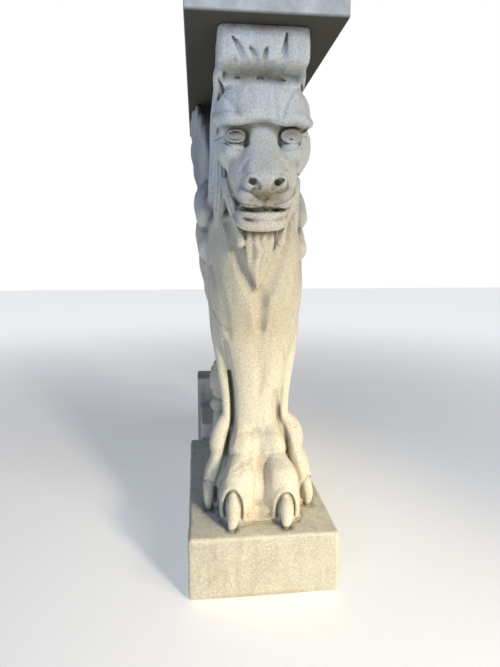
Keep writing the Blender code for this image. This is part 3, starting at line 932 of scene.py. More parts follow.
@dataclass
class Mane:
    """The mane falls in long straight hairs from the temples behind the cheeks to the shoulders."""

    curtain: tuple = (
        (46, 94, 556), (48, 98, 520), (46, 100, 480), (45, 100, 445), (47, 100, 415), (50, 104, 388),
    )
    behind: tuple = ((42, 122, 566), (46, 136, 530), (47, 146, 490), (50, 150, 450), (56, 152, 412))

    def shape(self, stone: StoneField) -> None:
        """Joins the mane's mass and the hair behind it to the stone.

        Args:
            stone: the field that is carved.
        """
        stone.join(Ball((0, 134, 500), (50, 70, 94)), 8)
        for side in BOTH_SIDES:
            stone.join(Stroke(mirrored(self.behind, side), (12, 16, 17, 15, 10), flat=0.7), 6)
            stone.join(Stroke(mirrored(self.curtain, side), (10, 12, 12, 12, 12, 8), flat=0.8), 6)

    def detail(self, stone: StoneField) -> None:
        """Draws the hairs seen from the front and along the flanks, and the dark hole behind the muzzle.

        Args:
            stone: the field that is carved.
        """
        for side in BOTH_SIDES:
            for n, x in enumerate((45, 50)):
                hair = (
                    (x + 2, 90, 530), (x, 90, 495), (x - 1, 90, 455), (x, 92, 425),
                    (x + 3, 96, 396 + 4 * n),
                )
                stone.engrave(mirrored(hair, side), (1, 2.2, 2.4, 2.2, 1), 1.1, reach=24)
            for n in range(7):
                y = 92 + 10 * n
                hair = ((50, y, 552 - 2 * n), (56, y + 6, 505), (58, y + 8, 460), (60, y + 10, 418 + 3 * n))
                stone.engrave(mirrored(hair, side), (1.2, 2.4, 2.4, 1.2), 1.6, Facing.FLANK, reach=30)
            stone.cut(Ball((side * 44 + 1.5, 72, 444), (3.4, 9, 6.5)), 1.5)


@dataclass
class Crest:
    """The mane swept up over the forehead into a square block that carries the slab."""

    top: float = 600.0

    def shape(self, stone: StoneField) -> None:
        """Joins the block, the cove under it and the locks at its lower corners.

        Args:
            stone: the field that is carved.
        """
        stone.join(Block((-48, 42, 536), (48, 470, self.top + 8), 6), 4)
        face = (
            (549, 43, 40, 100), (552, 46, 29, 100), (555.5, 50, 19, 100), (560, 52, 15, 100),
            (568, 52.5, 14, 100), (580, 52.3, 15, 100), (590, 52, 17.5, 100), (self.top + 6, 52, 20, 100),
        )
        stone.join(Trunk(face, 9.0, -0.3), 1.2)
        for side in BOTH_SIDES:
            stone.cut(Ball((side * 56, 10, 546), (20, 16, 13)), 3)
        left = ((-46, 36, 560), (-50, 36, 553), (-51.5, 42, 546), (-51, 54, 538), (-49, 70, 528))
        stone.join(Stroke(left, (3.5, 5, 5.6, 5.6, 5)), 3)
        right = ((43, 36, 560), (45, 36, 553), (46, 42, 547), (46, 54, 540), (45, 70, 530))
        stone.join(Stroke(right, (3.5, 5, 5.4, 5.6, 5)), 3)

    def detail(self, stone: StoneField) -> None:
        """Cuts the four strokes of the face, the slots beside the forehead and the notches at the hairline.

        Args:
            stone: the field that is carved.
        """
        strokes = (
            (
                ((-36.5, 17, 579), (-31, 16, 572), (-27, 15, 564), (-24, 15, 555), (-23, 20, 548)),
                (1.2, 3.4, 4.4, 4.6, 3),
            ),
            (((-17.2, 16, 569), (-13, 15, 564), (-10.6, 15, 558), (-10, 15, 551)), (2, 3.8, 4, 3)),
            (((1.4, 16, 569), (0, 15, 564), (-1.2, 15, 558), (-1.4, 15, 551)), (2, 3.6, 3.8, 3)),
            (
                ((24, 17, 586), (22.4, 16, 576), (20.8, 16, 567), (18.6, 16, 558), (16, 20, 549)),
                (1, 2.8, 4.4, 6.5, 9),
            ),
        )
        for path, widths in strokes:
            stone.engrave(path, widths, 6.2, reach=26, crisp=1.2)
        stone.engrave(((26, 18, 557), (17, 22, 553), (8, 28, 549)), (4, 8, 5), 4, reach=26)
        slot = ((-51, 40, 543), (-48, 44, 538), (-46.5, 48, 533), (-50, 56, 526))
        stone.engrave(slot, (1.4, 2.8, 2.8, 1.4), 7, reach=30, crisp=1.3)
        stone.engrave(((46, 50, 541), (50, 56, 536)), (1.6, 1.6), 4, reach=24, crisp=1.3)
        for path, width in (
            (((-32, 34, 546.5), (-29, 34, 547), (-26, 34, 546.3)), 1.6),
            (((-7, 33, 546), (-2.5, 32, 547), (1, 32, 546)), 1.6),
            (((15, 34, 547), (20.5, 34, 546.4), (27, 36, 544.6)), 2.2),
        ):
            stone.engrave(path, (0.8, width, 0.8), 5, reach=20, crisp=1.2)
        stone.cut(Ball((-34, 17, 555), (2.4, 5, 4.2)), 1)


@dataclass
class Wings:
    """A fan of long overlapping feathers on each side, from behind the shoulder up and back to the slab."""

    root: tuple = (54.0, 216.0, 452.0)
    tips: tuple = (
        (62, 256, 526), (68, 290, 552), (73, 328, 574), (78, 370, 588), (81, 406, 576), (81, 428, 540),
        (77, 432, 506), (70, 426, 472),
    )
    ruff: tuple = (
        (((66, 154, 398), (64, 194, 424), (59, 236, 448)), (17, 22, 14)),
        (((63, 148, 354), (62, 194, 384), (57, 240, 412)), (18, 22, 14)),
        (((57, 148, 308), (58, 194, 342), (53, 242, 374)), (16, 22, 14)),
        (((48, 160, 268), (51, 204, 302), (46, 250, 336)), (15, 22, 12)),
    )

    def feather(self, start: np.ndarray, tip: np.ndarray, bulge: tuple) -> list:
        """The three points of one feather's gently bowed shaft."""
        return [tuple(start), tuple(start * 0.45 + tip * 0.55 + np.array(bulge)), tuple(tip)]

    def shape(self, stone: StoneField) -> None:
        """Joins the feathers, long ones first and the short ones over them.

        Args:
            stone: the field that is carved.
        """
        root = np.array(self.root)
        for side in BOTH_SIDES:
            for n, tip in enumerate(self.tips):
                start = root + np.array((0, 5 * n, -6 * n))
                shaft = self.feather(start, np.array(tip, float), (2, -6, 6))
                stone.join(Stroke(mirrored(shaft, side), (12, 22, 21), flat=0.28), 0.8)
            for n, tip in enumerate(self.tips[:-1]):
                start = root + np.array((2, 5 * n, -6 * n))
                share = 0.6
                end = start * (1 - share) + (np.array(tip) + np.array(self.tips[n + 1])) / 2 * share
                shaft = self.feather(start, end + np.array((4.5, 0, 0)), (1.5, -3, 3))
                stone.join(Stroke(mirrored(shaft, side), (9, 15, 14), flat=0.3), 0.8)
            for path, radii in self.ruff:
                stone.join(Stroke(mirrored(path, side), radii, flat=0.8), 4)

    def detail(self, stone: StoneField) -> None:
        """Draws each long feather's shaft and the ruff's hollows.

        Args:
            stone: the field that is carved.
        """
        root = np.array(self.root)
        for side in BOTH_SIDES:
            for n, tip in enumerate(self.tips):
                start = root + np.array((0, 5 * n, -6 * n))
                shaft = self.feather(start, np.array(tip, float), (2, -6, 6))
                line = [(side * (x + 5), y, z) for x, y, z in carried(shaft, 4)[3:]]
                stone.engrave(line, [1.2] + [1.9] * (len(line) - 2) + [1.2], 1.5, Facing.FLANK, reach=26)
            for path, _ in self.ruff:
                line = [(side * (x + 12), y + 4, z - 2) for x, y, z in path]
                stone.engrave(line, (1.5, 3, 1.5), 1.6, Facing.FLANK, reach=30)
                line = [(side * (x + 12), y + 8, z + 8) for x, y, z in path]
                stone.engrave(line, (1.2, 2.4, 1.2), 1.2, Facing.FLANK, reach=30)


@dataclass
class Haunch:
    """Behind the wings the body narrows to an S-shaped scroll that comes down onto the plinth's back."""

    eye: tuple = (322.0, 122.0)

    def shape(self, stone: StoneField) -> None:
        """Joins the web, the back and the scroll to the stone.

        Args:
            stone: the field that is carved.
        """
        stone.join(Block((-44, 190, 500), (44, 440, 602), 6), 6)
        stone.join(Block((-26, 130, -EMBEDDED), (26, 344, 540), 4), 6)
        stone.join(Ball((0, 292, 440), (45, 150, 118), lean=12), 10)
        column = (
            (-EMBEDDED, 36, 296, 345), (40, 37, 300, 345), (80, 40, 294, 350), (125, 46, 288, 366),
            (180, 42, 306, 388), (240, 40, 326, 408), (310, 43, 336, 430), (400, 44, 330, 442),
            (520, 44, 310, 446), (597, 44, 306, 446),
        )
        stone.join(Trunk(column), 8)
        for side in BOTH_SIDES:
            stone.join(Ball((side * 38, 322, 122), (21, 38, 40)), 3)
            stone.join(Ball((side * 45, 310, 80), (14, 15, 14)), 2)
            for n in range(3):
                x = 30 + 8 * n
                leaf = ((x, 318 - 3 * n, 66), (x + 3, 304, 34), (x + 1, 310, -6))
                stone.join(Stroke(mirrored(leaf, side), (6, 6, 5)), 1)

    def detail(self, stone: StoneField) -> None:
        """Draws the scroll's spiral on each flank, its radius shrinking evenly as it turns.

        Args:
            stone: the field that is carved.
        """
        turns = np.linspace(0, 1, 22)
        angle = -math.pi / 2 + turns * 2.1 * math.tau
        radius = 33 - 27 * turns
        for side in BOTH_SIDES:
            for y0, z0, size in ((*self.eye, 1.0), (310.0, 80.0, 0.32)):
                spiral = np.column_stack(
                    [
                        np.full(len(turns), side * 54.0),
                        y0 + size * radius * np.cos(angle),
                        z0 + size * radius * np.sin(angle),
                    ]
                )
                widths = np.full(len(turns), 1.2 + 2.0 * size)
                stone.engrave(spiral, widths, 1 + 2.4 * size, Facing.FLANK, reach=40)


@dataclass
class Base:
    """The plinth with the low step and the pier behind it, their arrises worn round."""

    plinth_width: float = 190.0
    plinth_length: float = 348.0
    step_width: float = 150.0
    step_length: float = 121.0
    step_height: float = 114.0
    pier_width: float = 162.0
    pier_length: float = 76.0
    pier_height: float = 171.0
    arris: float = 5.0

    def shape(self, stone: StoneField) -> None:
        """Joins the three blocks to the stone, their undersides level with the ground.

        Args:
            stone: the field that is carved.
        """
        step_y = self.plinth_length
        pier_y = step_y + self.step_length
        for width, start, end, height in (
            (self.plinth_width, 0, step_y, PLINTH_HEIGHT),
            (self.pier_width, pier_y, pier_y + self.pier_length, self.pier_height),
            (self.step_width, step_y - 10, pier_y + 10, self.step_height),
        ):
            low = (-width / 2, start, -PLINTH_HEIGHT)
            high = (width / 2, end, height - PLINTH_HEIGHT)
            stone.join(Block(low, high, self.arris), 1.0)

    def detail(self, stone: StoneField) -> None:
        """Scores the scratches at the left of the plinth's front.

        Args:
            stone: the field that is carved.
        """
        for n in range(7):
            x = -88 + 3.4 * n
            z = -34 - 3 * (n % 3)
            path = ((x, 0, z - 16 + n), (x + 5, 0, z - 4), (x + 9, 0, z + 6))
            stone.engrave(path, (0.7, 1.3, 0.7), 0.7, reach=8)


def linear(colour: str) -> tuple:
    """Turns an sRGB colour to a linear one.

    Args:
        colour: a hex colour such as #c8b090.

    Returns:
        Its red, green and blue, and an alpha of one.
    """
    parts = [int(colour[i : i + 2], 16) / 255 for i in (1, 3, 5)]
    return tuple(c / 12.92 if c <= 0.04045 else ((c + 0.055) / 1.055) ** 2.4 for c in parts) + (1.0,)


class Nodes:
    """Adds nodes to a material or a world."""

    def __init__(self, owner: bpy.types.ID) -> None:
        """Starts with no nodes.

        Args:
            owner: the new material or world.
        """
        self.owner = owner
        owner.use_nodes = True
        self.tree = owner.node_tree
        self.tree.nodes.clear()

    def add(self, kind: str, links: dict | None = None, **settings: object) -> bpy.types.Node:
        """Adds a node.

        Args:
            kind: Blender's name of the node.
            links: what each input, by name or number, reads: a socket to link, or a value.
            settings: the node's own settings.

        Returns:
            The node.
        """
        node = self.tree.nodes.new(kind)
        for name, value in settings.items():
            setattr(node, name, value)
        for name, value in (links or {}).items():
            if isinstance(value, bpy.types.NodeSocket):
                self.tree.links.new(value, node.inputs[name])
            else:
                node.inputs[name].default_value = value
        return node

    def noise(
        self, place: Value, scale: float, detail: float, roughness: float = 0.5
    ) -> bpy.types.NodeSocket:
        """Adds a noise with about that many grains to a metre."""
        links = {"Vector": place, "Scale": scale, "Detail": detail, "Roughness": roughness}
        return self.add("ShaderNodeTexNoise", links).outputs["Fac"]

    def maths(self, operation: str, *values: Value) -> bpy.types.NodeSocket:
        """Adds a sum."""
        return self.add("ShaderNodeMath", dict(enumerate(values)), operation=operation).outputs[0]

    def spread(
        self,
        value: Value,
        low: float,
        high: float,
        start: float = 0.0,
        end: float = 1.0,
        kind: str = "LINEAR",
    ) -> bpy.types.NodeSocket:
        """Maps low to high onto start to end, held at both ends."""
        links = {"Value": value, "From Min": low, "From Max": high, "To Min": start, "To Max": end}
        return self.add("ShaderNodeMapRange", links, interpolation_type=kind).outputs[0]

    def mix(self, factor: Value, first: Value, second: Value, blend: str = "MIX") -> bpy.types.NodeSocket:
        """Mixes two colours."""
        links = {0: factor, 6: first, 7: second}
        return self.add("ShaderNodeMix", links, data_type="RGBA", blend_type=blend).outputs[2]

    def matt(self, colour: Value, height: Value, roughness: float, relief: float) -> bpy.types.Material:
        """Ends a material as a matt stone.

        Args:
            colour: the stone's colour.
            height: the small relief's height.
            roughness: the shader's roughness.
            relief: how strongly the small relief shows.

        Returns:
            The material.
        """
        bump = self.add("ShaderNodeBump", {"Height": height, "Strength": relief, "Distance": 0.6 * MM})
        links = {"Base Color": colour, "Roughness": roughness, "Normal": bump.outputs[0]}
        links["Specular IOR Level"] = 0.25
        shader = self.add("ShaderNodeBsdfPrincipled", links)
        self.add("ShaderNodeOutputMaterial", {"Surface": shader.outputs[0]})
        return self.owner


@dataclass(frozen=True)
class StainAndShadePatch:
    """A soft patch of colour on the stone, serving both as a stain and as painted shade: an ellipsoid whose
    strength fades from its middle to its skin.
    """

    centre: tuple
    radii: tuple
    colour: str
    strength: float

    def laid(self, n: Nodes, place: Value, cloud: Value, colour: Value) -> bpy.types.NodeSocket:
        """Lays the patch over a colour, its edge broken by a cloudy noise.

        Args:
            n: the material's nodes.
            place: the socket with the place on the stone.
            cloud: the noise's socket.
            colour: the colour so far.

        Returns:
            The stained colour.
        """
        centre, size = metres(np.array(self.centre)), np.array(self.radii) * MM
        links = {"Vector": place, "Location": tuple(-centre / size), "Scale": tuple(1 / size)}
        local = n.add("ShaderNodeMapping", links).outputs[0]
        away = n.add("ShaderNodeVectorMath", {0: local}, operation="LENGTH").outputs["Value"]
        near = n.spread(n.maths("MULTIPLY_ADD", cloud, 1.3, away), 0.85, 1.85, self.strength, 0.0)
        return n.mix(near, colour, linear(self.colour))


@dataclass(frozen=True)
class CastStone:
    """Dry-cast stone: a fine sandy skin, slightly open and matt, with weather stains, and with painted shade,
    partly dirt, darkening its hollows and pits.

    It is warm buff below and turns a cooler grey over the head, partly the stone's own tone and partly
    painted shade of the head lying in shadow, with clouds of sand and streaks left by rain.
    """

    # To the eye: a dry, sandy, matt skin in soft warm and cool drifts, the cool grey over the head partly
    # painted shade, its hollows and pits darkened by painted shade with some dirt.
    name: str = "dry-cast stone, weathered"
    warm: str = "#ded8c6"
    cool: str = "#cdd0d0"
    sand: str = "#c6bea6"
    dirt_and_shade: str = "#5d584c"
    streak: str = "#a89f88"
    drift_scale: float = 9.0
    cloud_scale: float = 38.0
    streak_scale: float = 85.0
    streak_squash: float = 0.14
    grain_mm: float = 1.9
    pit_spacing_mm: float = 7.0
    pit_patch_scale: float = 24.0
    roughness: float = 0.92
    grey_shade_from_z: float = 0.44
    grey_shade_to_z: float = 0.53
    stains_and_shade: tuple = ()

    def material(self) -> bpy.types.Material:
        """Builds the stone's material.

        Returns:
            The material.
        """
        n = Nodes(bpy.data.materials.new(self.name))
        place = n.add("ShaderNodeTexCoord").outputs["Object"]
        height = n.add("ShaderNodeSeparateXYZ", {0: place}).outputs["Z"]
        wander = n.maths("MULTIPLY_ADD", n.noise(place, self.drift_scale, 4.0, 0.55), 0.16, -0.08)
        # Painted shade, partly the stone's tone: the colour turns a cooler grey over the head, which lies in
        # shadow.
        cool = n.spread(n.maths("ADD", height, wander), self.grey_shade_from_z, self.grey_shade_to_z, kind="SMOOTHSTEP")
        colour = n.mix(cool, linear(self.warm), linear(self.cool))
        cloud = n.noise(place, self.cloud_scale, 5.0, 0.6)
        colour = n.mix(n.maths("MULTIPLY", n.spread(cloud, 0.42, 0.75), 0.4), colour, linear(self.sand))
        run_down = n.add("ShaderNodeMapping", {"Vector": place, "Scale": (1.0, 1.0, self.streak_squash)})
        streak = n.noise(run_down.outputs[0], self.streak_scale, 4.0)
        colour = n.mix(n.spread(streak, 0.48, 0.75, end=0.36), colour, linear(self.streak))
        # Lays the stains and the patches of painted shade listed for this stone.
        for patch_of_colour in self.stains_and_shade:
            colour = patch_of_colour.laid(n, place, cloud, colour)
        # Painted shade, partly dirt: the more closed in a point is, the darker it is painted.
        hollow_shade = n.add("ShaderNodeAttribute", attribute_name="hollow_shade").outputs["Fac"]
        colour = n.mix(n.spread(hollow_shade, 0.13, 0.7, end=0.8), colour, linear(self.dirt_and_shade))
        grain = n.noise(place, 1 / (self.grain_mm * MM), 2.0, 0.7)
        colour = n.mix(1.0, colour, n.spread(grain, 0.0, 1.0, 0.45, 1.55), "MULTIPLY")
        links = {"Vector": place, "Scale": 1 / (self.pit_spacing_mm * MM), "Randomness": 1.0}
        pits = n.add("ShaderNodeTexVoronoi", links).outputs["Distance"]
        size = n.maths("MULTIPLY", n.spread(n.noise(place, self.pit_patch_scale, 1.0), 0.48, 0.66), 0.12)
        # Painted shade, partly dirt: the pits are painted dark as well as sunk by the bump.
        hole = n.spread(n.maths("SUBTRACT", pits, size), -0.03, 0.02, 0.6, 0.0)
        colour = n.mix(hole, colour, linear(self.dirt_and_shade))
        return n.matt(colour, n.maths("MULTIPLY_ADD", hole, -1.6, grain), self.roughness, 0.22)


def metres(points: np.ndarray) -> np.ndarray:
    """Turns drawn millimetres to metres in the frame.

    Args:
        points: rows of x, y, z, or one such row.

    Returns:
        The same in metres.
    """
    origin = np.array((0.0, LOW[1], LOW[2] + PLINTH_HEIGHT * MM))
    return np.asarray(points, float) * MM + origin


def mesh_object(name: str, points: np.ndarray, faces: np.ndarray) -> bpy.types.Object:
    """Puts points in metres and four-cornered faces into a new object at the origin.

    Args:
        name: the object's name.
        points: rows of x, y, z.
        faces: rows of four indices.

    Returns:
        The object, shaded smooth.
    """
    mesh = bpy.data.meshes.new(name)
    mesh.vertices.add(len(points))
    mesh.vertices.foreach_set("co", np.asarray(points, np.float32).ravel())
    mesh.loops.add(faces.size)
    mesh.loops.foreach_set("vertex_index", np.asarray(faces, np.int32).ravel())
    mesh.polygons.add(len(faces))
    mesh.polygons.foreach_set("loop_start", np.arange(0, faces.size, faces.shape[1], dtype=np.int32))
    mesh.polygons.foreach_set("use_smooth", np.ones(len(faces), bool))
    mesh.update(calc_edges=True)
    made = bpy.data.objects.new(name, mesh)
    bpy.context.scene.collection.objects.link(made)
    return made


@dataclass
class Casting:
    """The whole casting: the lion on its plinth and rear pier."""

    most_triangles: int = 190_000
    unevenness: tuple = ((21.0, 0.35, 3), (8.0, 0.12, 4))
    leg: Leg = field(default_factory=Leg)
    paw: Paw = field(default_factory=Paw)
    head: Head = field(default_factory=Head)
    beard: Beard = field(default_factory=Beard)
    mane: Mane = field(default_factory=Mane)
    crest: Crest = field(default_factory=Crest)
    wings: Wings = field(default_factory=Wings)
    haunch: Haunch = field(default_factory=Haunch)
    base: Base = field(default_factory=Base)

    def carve(self) -> StoneField:
        """Works out the field, large forms first.

        Returns:
            The finished field.
        """
        stone = StoneField(1.0)
        for part in (self.haunch, self.leg, self.paw, self.mane, self.wings, self.crest, self.head):
            part.shape(stone)
        self.head.brow(stone)
        self.beard.shape(stone)
        self.head.eyes(stone)
        self.head.nose(stone)
        self.head.skin_folds(stone)
        for part in (self.leg, self.paw, self.mane, self.crest, self.wings, self.haunch):
            part.detail(stone)
        self.base.shape(stone)
        self.base.detail(stone)
        for size, height, seed in self.unevenness:
            stone.roughen(size, height, seed)
        stone.level(-PLINTH_HEIGHT, float((HIGH[2] - LOW[2]) / MM - PLINTH_HEIGHT))
        return stone

    def build(self, finish: CastStone) -> bpy.types.Object:
        """Makes the casting's mesh, thins it where it is flat and marks its hollows.

        Args:
            finish: the stone that dresses it.

        Returns:
            The finished piece.
        """
        stone = self.carve()
        points, faces = largest_body(*stone.skin())
        piece = mesh_object("lion_on_plinth", metres(points), faces)
        triangles = 2 * len(faces)
        LOG.info("casting: %d triangles before thinning", triangles)
        if triangles > self.most_triangles:
            thin = piece.modifiers.new("Thinned", "DECIMATE")
            thin.ratio = self.most_triangles / triangles
            graph = bpy.context.evaluated_depsgraph_get()
            mesh = bpy.data.meshes.new_from_object(piece.evaluated_get(graph))
            piece.modifiers.clear()
            piece.data = mesh
            mesh.name = piece.name
        self.mark_hollows(piece.data, stone)
        piece.data.materials.append(finish.material())
        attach(piece, BODY)
        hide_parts(CASTING_NODE)
        return piece

    @staticmethod
    def mark_hollows(mesh: bpy.types.Mesh, stone: StoneField) -> None:
        """Writes how closed in each point is, which the stone's material turns into painted shade in the
        hollows: 1 less the mean of field / distance along its normal.

        Args:
            mesh: the casting's mesh, which gets the attribute of how closed in it is.
            stone: the field that it was made from.
        """
        count = len(mesh.vertices)
        places, normals = np.empty(count * 3, np.float32), np.empty(count * 3, np.float32)
        mesh.vertices.foreach_get("co", places)
        mesh.vertices.foreach_get("normal", normals)
        drawn = (places.reshape(-1, 3) - metres(np.zeros(3))) / MM
        normals = normals.reshape(-1, 3)
        closed = np.zeros(count)
        steps = (1.5, 3.0, 6.0, 12.0)
        for step in steps:
            closed += 1 - np.clip(stone.sample(drawn + normals * step) / step, 0, 1)
        attribute = mesh.attributes.new("hollow_shade", "FLOAT", "POINT")
        attribute.data.foreach_set("value", (closed / len(steps)).astype(np.float32))


@dataclass
class TopSlab:
    """The slab on the crest: a rounded box, cut square at its back."""

    arris: float = 3.0
    divisions: tuple = (24, 64, 10)
    wave_height: float = 0.35
    wave_sizes: tuple = (17.0, 23.0)
    wave_start: float = 1.3
    wave_below: float = 0.4

    def build(self, finish: "SlabStone") -> bpy.types.Object:
        """Makes the slab as six grids whose points are pressed onto a box with round edges.

        A grid point on the plain box is drawn in to the inner box and pushed out again by the arris radius
        along the way between them, which rounds every edge and corner.

        Args:
            finish: the stone that dresses it.

        Returns:
            The finished piece.
        """
        low, high = (np.array(corner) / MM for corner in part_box(SLAB_NODE))
        lines = [self.spaced(low[i], high[i], self.divisions[i]) for i in range(3)]
        points, faces, count = [], [], 0
        for axis in range(3):
            u, v = (axis + 1) % 3, (axis + 2) % 3
            for end in (0, 1):
                grid = np.zeros((len(lines[u]), len(lines[v]), 3))
                grid[..., u], grid[..., v] = np.meshgrid(lines[u], lines[v], indexing="ij")
                grid[..., axis] = (low, high)[end][axis]
                index = np.arange(grid.shape[0] * grid.shape[1]).reshape(grid.shape[:2]) + count
                ring = (index[:-1, :-1], index[1:, :-1], index[1:, 1:], index[:-1, 1:])
                quads = np.stack(ring, -1).reshape(-1, 4)
                faces.append(quads if end else quads[:, ::-1])
                points.append(grid.reshape(-1, 3))
                count += index.size
        points = np.vstack(points)
        inner = np.clip(points, low + self.arris, high - self.arris)
        away = points - inner
        points = inner + away / np.maximum(np.linalg.norm(away, axis=1, keepdims=True), 1e-9) * self.arris
        across, along = (points[:, i] / size for i, size in enumerate(self.wave_sizes))
        wave = np.abs(np.sin(across + self.wave_start) * np.sin(along) * self.wave_height)
        points[:, 2] += np.where(points[:, 2] > (low + high)[2] / 2, -wave, wave * self.wave_below)
        points, faces = welded(points, np.vstack(faces))
        piece = mesh_object("slab_of_cast_stone", points * MM, faces)
        piece.data.materials.append(finish.material())
        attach(piece, BODY)
        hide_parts(SLAB_NODE)
        return piece

    def spaced(self, low: float, high: float, count: int) -> np.ndarray:
        """Lines between two ends, with three close ones over each arris.

        Args:
            low: where they start.
            high: where they end.
            count: how many lie between the arrises.

        Returns:
            The lines' places.
        """
        ends = self.arris * (1 - np.cos(np.linspace(0, math.pi / 2, 4)))[:-1]
        middle = np.linspace(low + self.arris, high - self.arris, count)
        return np.concatenate([low + ends, middle, high - ends[::-1]])


def welded(points: np.ndarray, faces: np.ndarray) -> tuple:
    """Makes points that lie together one, to a thousandth of a millimetre.

    Args:
        points: rows of x, y, z.
        faces: rows of four indices.

    Returns:
        The points kept, and the faces by their new numbers.
    """
    _, first, index = np.unique(np.round(points, 3), axis=0, return_index=True, return_inverse=True)
    return points[first], index.reshape(-1)[faces]


@dataclass(frozen=True)
class SlabStone:
    """The slab's greyer cast stone: trowelled and finely mottled, its underside darkened with painted shade.
    """

    # To the eye: a smoother, paler grey than the figure's stone, edged dark below with painted shade.
    name: str = "grey cast stone, trowelled"
    light: str = "#d0d2cf"
    dark: str = "#b2b5b3"
    underside_shade: str = "#4a4840"
    cloud_scale: float = 45.0
    grain_mm: float = 1.5
    underside_shade_edge: tuple = (0.0004, 0.004)
    roughness: float = 0.9

    def material(self) -> bpy.types.Material:
        """Builds the slab's material.

        Returns:
            The material.
        """
        n = Nodes(bpy.data.materials.new(self.name))
        place = n.add("ShaderNodeTexCoord").outputs["Object"]
        height = n.add("ShaderNodeSeparateXYZ", {0: place}).outputs["Z"]
        cloud = n.noise(place, self.cloud_scale, 6.0, 0.65)
        colour = n.mix(n.spread(cloud, 0.35, 0.65), linear(self.light), linear(self.dark))
        # Painted shade: the slab's underside, which lies in shadow, is painted dark.
        start, end = (float(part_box(SLAB_NODE)[0][2]) + rise for rise in self.underside_shade_edge)
        colour = n.mix(n.spread(height, start, end, 1.0, 0.0), colour, linear(self.underside_shade))
        grain = n.noise(place, 1 / (self.grain_mm * MM), 2.0, 0.7)
        colour = n.mix(1.0, colour, n.spread(grain, 0.0, 1.0, 0.78, 1.22), "MULTIPLY")
        return n.matt(colour, grain, self.roughness, 0.25)


@dataclass(frozen=True)
class Lamp:
    """A light: where it hangs and what it faces in metres, its watts, its colour, and how wide its source is.

    A cone above zero makes it a spot of that many degrees; it is a square of light otherwise.
    """

    name: str
    place: tuple
    target: tuple
    power: float
    colour: str
    size: float
    cone: float = 0.0

    def hang(self) -> None:
        """Puts the light in the scene."""
        data = bpy.data.lights.new(self.name, "SPOT" if self.cone else "AREA")
        data.energy, data.color = self.power, linear(self.colour)[:3]
        if self.cone:
            data.spot_size, data.spot_blend, data.shadow_soft_size = math.radians(self.cone), 1.0, self.size
        else:
            data.size = self.size
        lamp = bpy.data.objects.new(self.name, data)
        bpy.context.scene.collection.objects.link(lamp)
        lamp.location = self.place
        away = np.array(self.place) - np.array(self.target)
        lamp.rotation_euler = (math.atan2(math.hypot(*away[:2]), away[2]), 0.0, math.atan2(away[0], -away[1]))


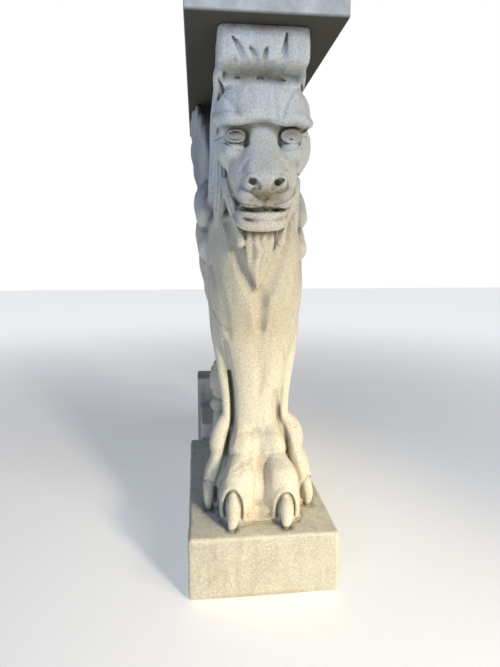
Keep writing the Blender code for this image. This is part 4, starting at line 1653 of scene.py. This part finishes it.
@dataclass
class Studio:
    """A pale floor, a warm low key, a neutral upper light, a cool fill and the photograph's camera."""

    camera_place: tuple = (-0.0791, -0.8405, 0.423)
    camera_pitch: float = -0.1504
    camera_yaw: float = -0.1054
    lens: float = 499.4 * 36 / 667
    floor_size: float = 12.0
    floor_drop: float = 0.0005
    floor_colour: str = "#e6e6e6"
    glow_distance: tuple = (0.3, 2.6)
    glow: tuple = (0.34, 0.78)
    sky: str = "#b4cbf0"
    sky_strength: float = 0.09
    lamps: tuple = (
        Lamp("low key", (1.1, -2.15, 0.8), (0.0, -0.25, 0.0), 205.0, "#ffedc4", 0.16, 28.0),
        Lamp("upper light", (1.15, -1.5, 1.35), (0.0, -0.1, 0.4), 17.0, "#f6f4f2", 0.8),
        Lamp("sky fill", (-0.9, -1.65, 1.15), (0.0, -0.2, 0.3), 10.0, "#a9c8f8", 0.9),
    )

    def build(self) -> None:
        """Sets up the floor, the lights, the world and the camera."""
        self.floor()
        self.world()
        for lamp in self.lamps:
            lamp.hang()
        self.camera()

    def floor(self) -> None:
        """Lays a pale floor that runs on far past the view and brightens as it goes."""
        half = self.floor_size / 2
        corners = np.array(((-half, -half, 0), (half, -half, 0), (half, half, 0), (-half, half, 0)), float)
        corners[:, 2] = LOW[2] - self.floor_drop
        floor = mesh_object("floor", corners, np.array([[0, 1, 2, 3]]))
        # To the eye: plain pale ground, bright enough to run into the white behind.
        n = Nodes(bpy.data.materials.new("pale matt floor"))
        place = n.add("ShaderNodeTexCoord").outputs["Object"]
        away = n.add("ShaderNodeVectorMath", {0: place}, operation="LENGTH").outputs["Value"]
        glow = n.spread(away, *self.glow_distance, *self.glow, kind="SMOOTHSTEP")
        links = {"Base Color": linear(self.floor_colour), "Roughness": 0.9}
        links |= {"Emission Color": linear("#ffffff"), "Emission Strength": glow}
        shader = n.add("ShaderNodeBsdfPrincipled", links)
        n.add("ShaderNodeOutputMaterial", {"Surface": shader.outputs[0]})
        floor.data.materials.append(n.owner)

    def world(self) -> None:
        """Hangs a backdrop that is white to the eye and lights the stone dimly and coolly."""
        n = Nodes(bpy.data.worlds.new("studio"))
        bpy.context.scene.world = n.owner
        seen = n.add("ShaderNodeLightPath").outputs["Is Camera Ray"]
        lit = n.add("ShaderNodeBackground", {"Color": linear(self.sky), "Strength": self.sky_strength})
        white = n.add("ShaderNodeBackground", {"Color": linear("#ffffff"), "Strength": 1.0})
        shown = n.add("ShaderNodeMixShader", {0: seen, 1: lit.outputs[0], 2: white.outputs[0]})
        n.add("ShaderNodeOutputWorld", {"Surface": shown.outputs[0]})
        bpy.context.scene.view_settings.view_transform = "Standard"

    def camera(self) -> None:
        """Stands the camera where the photograph was taken from."""
        data = bpy.data.cameras.new("camera")
        data.lens, data.sensor_width, data.clip_start = self.lens, 36.0, 0.05
        camera = bpy.data.objects.new("camera", data)
        bpy.context.scene.collection.objects.link(camera)
        camera.location = self.camera_place
        camera.rotation_euler = (math.pi / 2 + self.camera_pitch, 0.0, self.camera_yaw)
        bpy.context.scene.camera = camera


def main() -> None:
    """Builds the casting, the slab and the studio, and reports each."""
    logging.basicConfig(level=logging.INFO, format="%(message)s")
    stone = CastStone(
        stains_and_shade=(
            StainAndShadePatch((4, 66, 262), (44, 40, 50), "#b39c74", 0.5),
            StainAndShadePatch((0, 60, 300), (90, 70, 190), "#c4baa0", 0.8),
            StainAndShadePatch((4, 14, 411), (25, 17, 16), "#79683f", 0.9),
            # Painted shade: the eye sockets and the middle under the brow, in the brow's shadow, are painted
            # dark.
            StainAndShadePatch((-29, 46, 487), (18, 15, 13), "#7a7462", 0.75),
            StainAndShadePatch((37, 46, 489), (18, 15, 13), "#7a7462", 0.75),
            StainAndShadePatch((2, 42, 498), (15, 10, 4), "#6f6852", 0.6),
            # Painted shade: the left flank behind the head and the rear pier, which lie in shadow, are
            # painted a dark blue-grey.
            StainAndShadePatch((-70, 340, 470), (45, 150, 130), "#7f8a93", 0.6),
            StainAndShadePatch((-60, 500, 0), (70, 70, 110), "#6d7883", 0.75),
            StainAndShadePatch((0, 28, 12), (24, 16, 18), "#94794c", 0.6),
            StainAndShadePatch((2, 60, 66), (9, 30, 24), "#ab9066", 0.5),
            # Painted shade: the cove under the crest, which lies in shadow, is painted dark.
            StainAndShadePatch((0, 32, 549), (64, 28, 9), "#6d6a55", 0.85),
            StainAndShadePatch((8, 14, 596), (62, 16, 9), "#754a30", 1.0),
            StainAndShadePatch((0, 0, -82), (110, 40, 7), "#a08650", 0.6),
        )
    )
    casting = Casting().build(stone)
    LOG.info("%s: %d faces", casting.name, len(casting.data.polygons))
    slab = TopSlab().build(SlabStone())
    LOG.info("%s: %d faces", slab.name, len(slab.data.polygons))
    Studio().build()
    LOG.info("studio ready")


if __name__ == "__main__":
    main()
